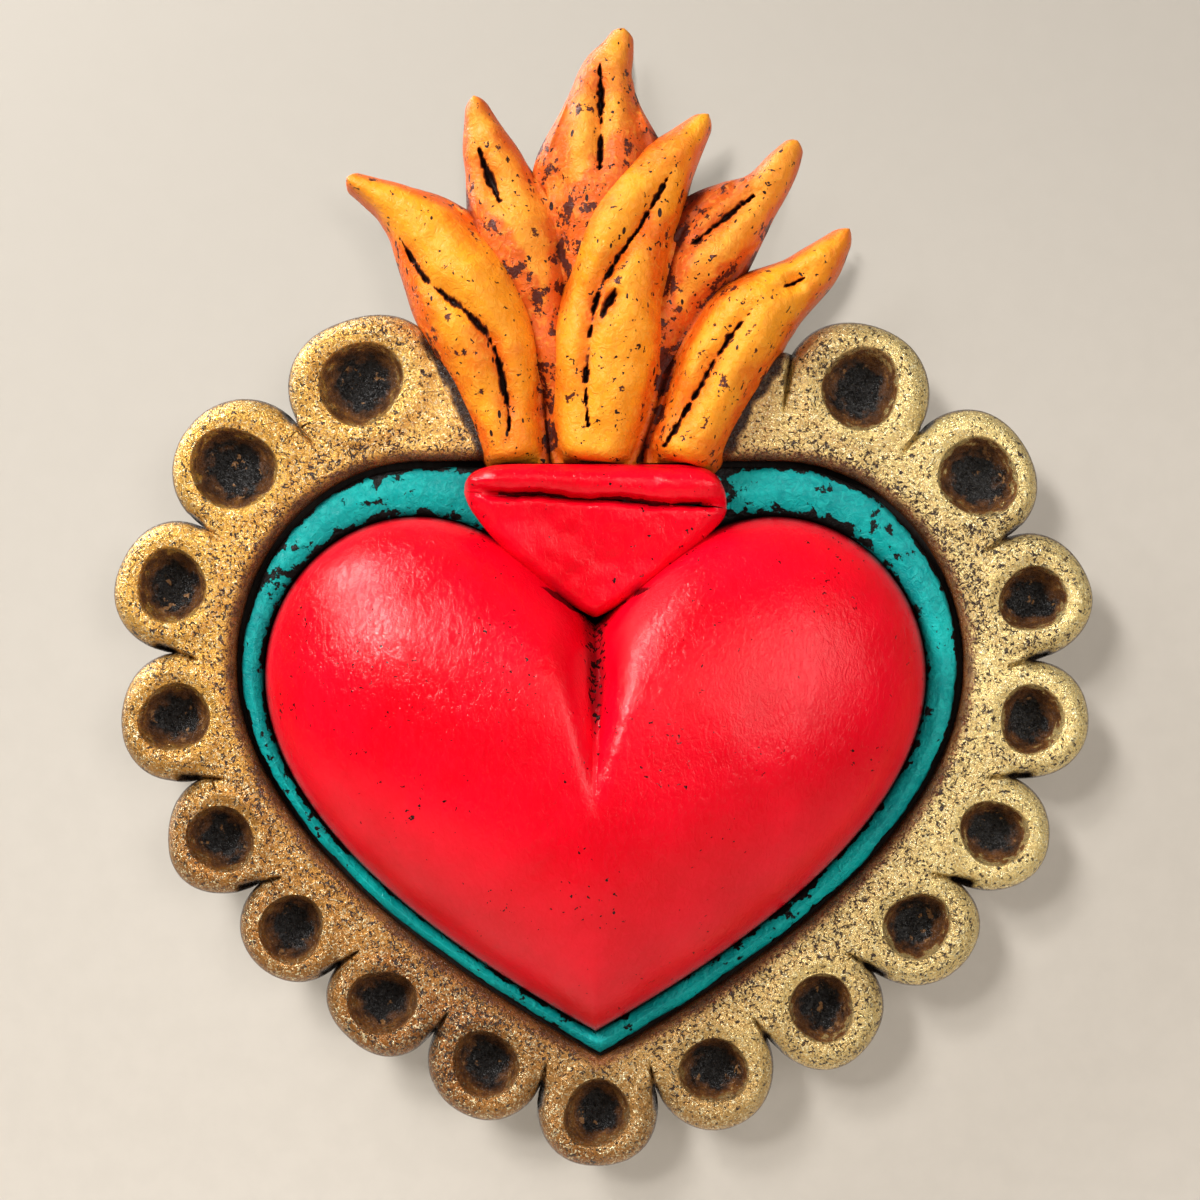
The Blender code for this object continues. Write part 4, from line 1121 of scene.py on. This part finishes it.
def red_lacquer():
    """Glossy red with brush marks and pinholes; painted shade darkens its edges, the cleft and a strip beside
    the collar's wedge, and the cleft has worn dark flecks.
    """
    paint = Paint("red_lacquer")
    brush = paint.noise(850.0, 4.0, 0.6, paint.stretched((1.0, 1.0, 0.5), (0.0, 0.6, 0.0)), 1.2)
    fine = paint.noise(2200.0, 3.0)
    broad = paint.noise(45.0, 4.0)
    pits = pinholes(paint, 430.0, 0.16, 60.0, 0.38)
    # Painted shade: edge darkens the heart's rim, a painted shadow beside the collar's wedge and the collar's
    # edges and slit; cleft darkens the cleft
    edge = paint.span(paint.mark("edge"), 0.98, 1.0)
    cleft = paint.mark("cleft")
    fleck_noise = paint.add(paint.noise(700.0, 3.0), paint.times(cleft, 0.2))
    flecks = paint.times(paint.span(fleck_noise, 0.72, 0.76), paint.span(cleft, 0.3, 0.7))
    base = paint.mix(paint.span(broad, 0.3, 0.7), RED_DEEP, RED_BRIGHT)
    base = paint.mix(paint.span(brush, 0.4, 0.75, 0.0, 0.2), base, RED_STROKE)
    base = paint.mix(paint.span(cleft, 0.45, 1.0, 0.0, 0.6), base, RED_CLEFT_SHADE)
    base = paint.mix(flecks, base, RED_FLECK)
    base = paint.mix(paint.times(edge, 0.9), base, RED_EDGE_SHADE)
    base = paint.mix(pits, base, RED_PIT)
    height = paint.add(paint.times(brush, 0.7), paint.times(fine, 0.25))
    normal = paint.bump(paint.less(height, paint.times(pits, 0.8)), 0.0003, 0.8)
    rough = paint.span(brush, 0.3, 0.7, 0.12, 0.18)
    return paint.finish(base, rough, normal, Specular_IOR_Level=0.26)


def turquoise_paint():
    """Brushed turquoise that has chipped off along both edges, with painted shade darkening both edges."""
    paint = Paint("turquoise_paint")
    across = paint.mark("across")
    brush = paint.noise(700.0, 5.0, 0.6, None, 1.0)
    broad = paint.noise(60.0, 4.0)
    chips = paint.noise(300.0, 5.0, 0.62)
    patch = paint.noise(35.0, 2.0)
    outer = paint.span(across, 0.86, 1.0)
    inner = paint.span(across, 0.3, 0.0)
    bare = paint.add(paint.times(outer, 0.2), paint.times(inner, 0.17))
    bare = paint.add(bare, paint.span(patch, 0.44, 0.64, 0.0, 0.14))
    bare = paint.span(paint.add(chips, bare), 0.66, 0.68)
    dots = pinholes(paint, 480.0, 0.16, 60.0)
    base = paint.mix(paint.span(broad, 0.3, 0.7), TEAL_DEEP, TEAL_BRIGHT)
    base = paint.mix(paint.span(brush, 0.42, 0.72, 0.0, 0.5), base, TEAL_STROKE)
    # Painted shade: darker towards both edges, where the strip falls into the groove and meets the heart
    base = paint.mix(paint.times(paint.most(outer, inner), 0.6), base, TEAL_EDGE_SHADE)
    base = paint.mix(paint.most(bare, dots), base, TEAL_BARE)
    height = paint.less(brush, paint.times(bare, 0.8))
    normal = paint.bump(height, 0.0006, 0.8)
    return paint.finish(base, paint.span(brush, 0.3, 0.7, 0.3, 0.48), normal, Specular_IOR_Level=0.22)


def gold_leaf():
    """Crinkled gilding: paler to the right, partly as a painted reflection; painted glints and crease shade
    on the crinkles; scratched, grimy with painted shade on the sides and crevices, rusty at the groove and
    dark in the dishes.
    """
    paint = Paint("gold_leaf")
    grime_and_shade = paint.mark("grime_and_shade")
    bowl = paint.mark("bowl")
    bole = paint.mark("bole")
    crinkle = paint.noise(1300.0, 4.0, 0.62, None, 1.6)
    dents = paint.noise(380.0, 4.0, 0.6, None, 0.8)
    patches = paint.noise(190.0, 6.0, 0.72)
    broad = paint.noise(38.0, 4.0)
    # Paler towards the right: partly the leaf's own champagne tone, partly a painted reflection of the lamps
    # on the right
    right = paint.span(paint.axis("X"), -0.08, 0.08)
    low = paint.span(paint.add(paint.axis("Z"), paint.times(paint.axis("X"), 0.6)), -0.05, -0.11)
    leaf = paint.mix(right, GOLD_WARM, GOLD_PALE)
    stain = paint.add(paint.span(broad, 0.42, 0.74, 0.0, 0.3), paint.times(low, 0.85), True)
    leaf = paint.mix(stain, leaf, GOLD_STAIN)
    # Painted glints on the crinkles' highs and painted shade in their creases; the same crinkle noise raises
    # the bump
    leaf = paint.mix(paint.span(crinkle, 0.52, 0.63, 0.0, 0.75), leaf, GOLD_GLINT)
    leaf = paint.mix(paint.span(crinkle, 0.46, 0.36, 0.0, 0.55), leaf, GOLD_CREASE_SHADE)
    dirt = paint.add(paint.times(grime_and_shade, 0.08), paint.times(bole, 0.1))
    dirt = paint.add(dirt, paint.span(broad, 0.35, 0.75, -0.06, 0.06))
    coarse = paint.scratches(560.0, 0.05, 0.0, dirt)
    dashes = paint.most(coarse, paint.scratches(820.0, 0.055, 0.37, dirt))
    bare = paint.span(paint.add(patches, dirt), 0.77, 0.8)
    dots = pinholes(paint, 520.0, 0.2, 90.0)
    worn = paint.most(paint.most(dashes, bare), dots)
    base = paint.mix(worn, leaf, GOLD_WORN)
    rub = paint.span(patches, 0.3, 0.7, -0.2, 0.2)
    fine = paint.span(crinkle, 0.3, 0.7, -0.16, 0.16)
    rubbed = paint.add(paint.times(rub, 0.5), fine)
    # Grime with painted shade, and rubbing: browner on the sides and in the crevices, darkest deep in them
    grime_shade_and_rub = paint.add(grime_and_shade, rubbed)
    side = paint.span(grime_shade_and_rub, 0.24, 0.6)
    base = paint.mix(paint.times(side, 0.8), base, GOLD_SIDE)
    base = paint.mix(paint.span(grime_shade_and_rub, 0.6, 1.0), base, GOLD_GRIME_AND_SHADE)
    rust = paint.span(paint.add(bole, rubbed), 0.68, 0.86, 0.0, 0.88)
    base = paint.mix(rust, base, paint.mix(paint.span(patches, 0.4, 0.6), RUST_PALE, RUST_DEEP))
    streaks = paint.span(paint.noise(320.0, 5.0, 0.65), 0.3, 0.7, -0.2, 0.2)
    depth = paint.add(bowl, paint.times(streaks, paint.span(bowl, 0.0, 0.1)))
    cup = paint.mix(paint.span(depth, 0.03, 0.08), base, CUP_BRIM)
    cup = paint.mix(paint.span(depth, 0.06, 0.2), cup, CUP_WALL)
    cup = paint.mix(paint.span(depth, 0.22, 0.48), cup, CUP_FLOOR)
    fleck_noise = paint.add(paint.noise(420.0, 4.0, 0.6), paint.span(patches, 0.4, 0.6, -0.03, 0.03))
    flecks = paint.span(fleck_noise, 0.63, 0.66)
    base = paint.mix(paint.times(flecks, paint.span(bowl, 0.06, 0.2)), cup, CUP_FLECK)
    hollow = paint.span(depth, 0.04, 0.1)
    covered = paint.most(paint.most(worn, side), paint.most(rust, hollow))
    metal = paint.less(0.6, paint.times(covered, 0.6), True)
    height = paint.add(paint.times(crinkle, 0.45), paint.times(dents, 0.25))
    height = paint.less(height, paint.times(worn, 0.25))
    normal = paint.bump(height, 0.001, 0.9)
    return paint.finish(base, paint.span(crinkle, 0.35, 0.7, 0.34, 0.2), normal, metal)


def flame_paint(name, ridge, flank, chipping):
    """Yellow to orange paint with black slits, specks and chips; painted shade turns the flanks, valleys and
    crevices under other flames more orange, then dark red towards the roots.
    """
    paint = Paint(name)
    slit = paint.mark("slit")
    low = paint.mark("low")
    tuck = paint.mark("tuck")
    foot = paint.less(1.0, paint.mark("way"))
    brush = paint.noise(600.0, 5.0, 0.6, None, 0.8)
    broad = paint.noise(75.0, 4.0)
    chips = paint.noise(230.0, 6.0, 0.66)
    dots = pinholes(paint, 430.0, 0.17, 90.0, 0.24)
    slanted = paint.stretched((1.0, 1.0, 0.45), (0.0, -0.5, 0.0))
    dash_size = paint.span(paint.noise(70.0, 2.0), 0.3, 0.65, 0.0, 0.15)
    dashes = paint.sum("LESS_THAN", paint.cells(340.0, slanted), dash_size)
    valley = paint.times(paint.mark("valley"), 0.3)
    # Painted shade from flanks, carved valleys and tucks, more orange then dark red; the ridge-to-flank
    # change is partly the flames' own yellow-to-orange paint
    shade = paint.add(paint.add(low, valley), paint.span(broad, 0.3, 0.7, -0.2, 0.2))
    shade = paint.add(shade, paint.times(tuck, 0.55))
    base = paint.mix(paint.span(shade, 0.05, 0.45), ridge, flank)
    base = paint.mix(paint.span(brush, 0.48, 0.75, 0.0, 0.4), base, FLAME_STROKE)
    base = paint.mix(paint.span(shade, 0.62, 1.2, 0.0, 0.94), base, FLAME_ROOT_SHADE)
    wear = paint.add(paint.times(low, 0.1), paint.times(foot, chipping))
    wear = paint.add(wear, paint.times(tuck, 0.07))
    bare = paint.span(paint.add(chips, wear), 0.672, 0.69)
    base = paint.mix(bare, base, FLAME_BARE)
    base = paint.mix(paint.span(slit, 0.02, 0.25), base, FLAME_GROOVE)
    black = paint.most(paint.most(dots, dashes), paint.span(slit, 0.25, 0.6))
    base = paint.mix(black, base, FLAME_BLACK)
    height = paint.less(brush, paint.times(paint.most(dots, bare), 0.6))
    normal = paint.bump(height, 0.0007, 0.8)
    rough = paint.span(brush, 0.3, 0.7, 0.32, 0.5)
    return paint.finish(base, rough, normal, Specular_IOR_Level=0.24)


def card_paint(name, pale, deep):
    """Raw or painted card and paper, with fibres and stains."""
    paint = Paint(name)
    fibres = paint.noise(900.0, 6.0, 0.7, paint.stretched((1.0, 1.0, 0.2), (0.0, 0.4, 0.0)))
    stains = paint.noise(28.0, 4.0)
    base = paint.mix(paint.span(stains, 0.3, 0.75), pale, deep)
    base = paint.mix(paint.span(fibres, 0.45, 0.7, 0.0, 0.4), base, deep)
    normal = paint.bump(fibres, 0.0004, 0.6)
    return paint.finish(base, paint.span(fibres, 0.3, 0.7, 0.72, 0.92), normal)


def metal_paint(name, bright, tarnish):
    """Scratched bare metal with blotches of tarnish."""
    paint = Paint(name)
    blotches = paint.noise(260.0, 5.0)
    scratches = paint.noise(2400.0, 3.0, 0.6, paint.stretched((1.0, 1.0, 0.08)))
    base = paint.mix(paint.span(blotches, 0.4, 0.7), bright, tarnish)
    normal = paint.bump(scratches, 0.0001, 0.5)
    return paint.finish(base, paint.span(blotches, 0.3, 0.7, 0.25, 0.5), normal, 1.0)


# Studio

def area_light(name, place, target, size, power, tint=(1.0, 1.0, 1.0)):
    lamp = bpy.data.lights.new(name, "AREA")
    lamp.shape = "RECTANGLE"
    lamp.size, lamp.size_y = size
    lamp.energy = power
    lamp.color = tint
    item = put_in_scene(name, lamp)
    item.location = place
    item.rotation_euler = (Vector(target) - Vector(place)).to_track_quat("-Z", "Y").to_euler()


def backdrop():
    """A pale wall that curves into the floor, painted darker towards the upper left as painted shade where
    the lamps light it most.
    """
    paint = Paint("backdrop")
    fine = paint.noise(60.0, 3.0)
    # Painted shade: the wall's colour darkens towards the upper left to even out the brighter light there
    upper_left_shading = paint.less(paint.axis("Z"), paint.times(paint.axis("X"), 0.3))
    base = paint.mix(paint.span(upper_left_shading, -0.4, 0.4), WALL_LOW, WALL_HIGH)
    base = paint.mix(paint.span(fine, 0.3, 0.7, 0.0, 0.1), base, WALL_GRAIN)
    material = paint.finish(base, 0.9)
    turn = np.linspace(0.0, math.pi / 2, 24)
    profile = [(-STAGE_REACH, FLOOR)]
    profile += [(WALL - COVE + COVE * math.sin(t), FLOOR + COVE - COVE * math.cos(t)) for t in turn]
    profile.append((WALL, WALL_HEIGHT))
    points = [(x, y, z) for x in (-STAGE_REACH, STAGE_REACH) for y, z in profile]
    count = len(profile)
    faces = [(i, i + 1, count + i + 1, count + i) for i in range(count - 1)]
    mesh = bpy.data.meshes.new("backdrop")
    mesh.from_pydata(points, [], faces)
    mesh.shade_smooth()
    mesh.materials.append(material)
    put_in_scene("backdrop", mesh)
    return material


def shadow_card(material):
    """A card close to the wall, in line with the ornament, that throws its soft shadow there."""
    reach = CAMERA_DISTANCE + WALL - CARD_GAP
    scale = reach / CAMERA_DISTANCE
    discs = list(zip(LOBE_CENTRES, LOBE_RADII)) + [(POLE, CARD_MIDDLE)]
    for rows in TONGUES.values():
        discs += [(np.array((x, FLAME_FOOT + z)), half) for x, z, half in spline(rows, 3)]
    angle = np.radians(np.arange(0.0, 360.0, 12.0))
    points = []
    faces = []
    for centre, radius in discs:
        faces.append(tuple(range(len(points), len(points) + len(angle))))
        ring = (centre + around(angle) * (radius - CARD_INSET)) * scale * MM
        points += [(x, WALL - CARD_GAP + CARD_STEP * len(faces), z) for x, z in ring]
    heart = band_outline(BAND_LIP)[::6] * scale * MM
    faces.append(tuple(range(len(points), len(points) + len(heart))))
    points += [(x, WALL - CARD_GAP, z) for x, z in heart]
    mesh = bpy.data.meshes.new("shadow_card")
    mesh.from_pydata(points, [], faces)
    mesh.materials.append(material)
    item = put_in_scene("shadow_card", mesh)
    item.visible_camera = False
    item.visible_diffuse = False
    item.visible_glossy = False


def camera():
    """The photo's straight front view."""
    data = bpy.data.cameras.new("camera")
    data.lens = CAMERA_LENS
    data.sensor_width = CAMERA_SENSOR
    item = put_in_scene("camera", data)
    item.location = (0.0, -CAMERA_DISTANCE, 0.0)
    item.rotation_euler = (math.pi / 2, 0.0, 0.0)
    bpy.context.scene.camera = item


def lights():
    """A soft key from the upper left, weaker lights round it, and a dim warm surround."""
    world = bpy.data.worlds.new("studio")
    world.use_nodes = True
    shade = world.node_tree.nodes["Background"]
    shade.inputs["Color"].default_value = (1.0, 0.94, 0.87, 1.0)
    shade.inputs["Strength"].default_value = 0.15
    bpy.context.scene.world = world
    centre = (0.0, -0.02, 0.0)
    area_light("key", (-0.92, -0.96, 0.75), centre, (0.36, 0.36), 20.0, (1.0, 0.98, 0.95))
    area_light("fill", (0.9, -1.05, 0.35), centre, (0.6, 1.0), 8.5, (1.0, 0.96, 0.92))
    area_light("front", (0.4, -1.5, 0.6), centre, (1.2, 0.9), 4.0, (1.0, 0.98, 0.96))
    area_light("wall_wash", (-0.7, -0.2, 0.8), (0.3, WALL, -0.5), (0.3, 0.3), 10.0, (1.0, 0.98, 0.95))
    area_light("behind", (-0.9, 0.8, 0.8), centre, (0.7, 0.7), 16.0)


def build():
    bpy.context.scene.view_settings.view_transform = "Standard"
    red = red_lacquer()
    gold = gold_leaf()
    amber = flame_paint("amber_paint", AMBER_RIDGE, AMBER_FLANK, 0.04)
    orange = flame_paint("orange_paint", ORANGE_RIDGE, ORANGE_FLANK, 0.09)
    heart_shell(red)
    turquoise_border(turquoise_paint())
    rim_band(gold)
    for i, (name, _, _, _) in enumerate(SCALLOPS):
        scallop(i, name, gold)
    for name in TONGUES:
        if name in FRONT_FLAMES:
            tongue(name, amber)
        else:
            tongue(name, orange)
    collar_wedge(red)
    collar_roll(red)
    card = card_paint("dark_card", CARD_PALE, CARD_DEEP)
    kraft = card_paint("kraft_paper", KRAFT_PALE, KRAFT_DEEP)
    heart_core(card_paint("newsprint", PAPER_PALE, PAPER_DEEP))
    brass = metal_paint("aged_brass", BRASS_BRIGHT, BRASS_TARNISH)
    steel = metal_paint("tack_steel", STEEL_BRIGHT, STEEL_TARNISH)
    finishes = {"core_board": card, "back_board": card, "back_lining": kraft, "hanger_strap": brass,
                "hanging_ring": brass, "hanger_tack_upper": steel, "hanger_tack_lower": steel}
    for name, material in finishes.items():
        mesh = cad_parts[name].data
        mesh.materials.clear()
        mesh.materials.append(material)
    shadow_card(backdrop())
    lights()
    camera()


build()
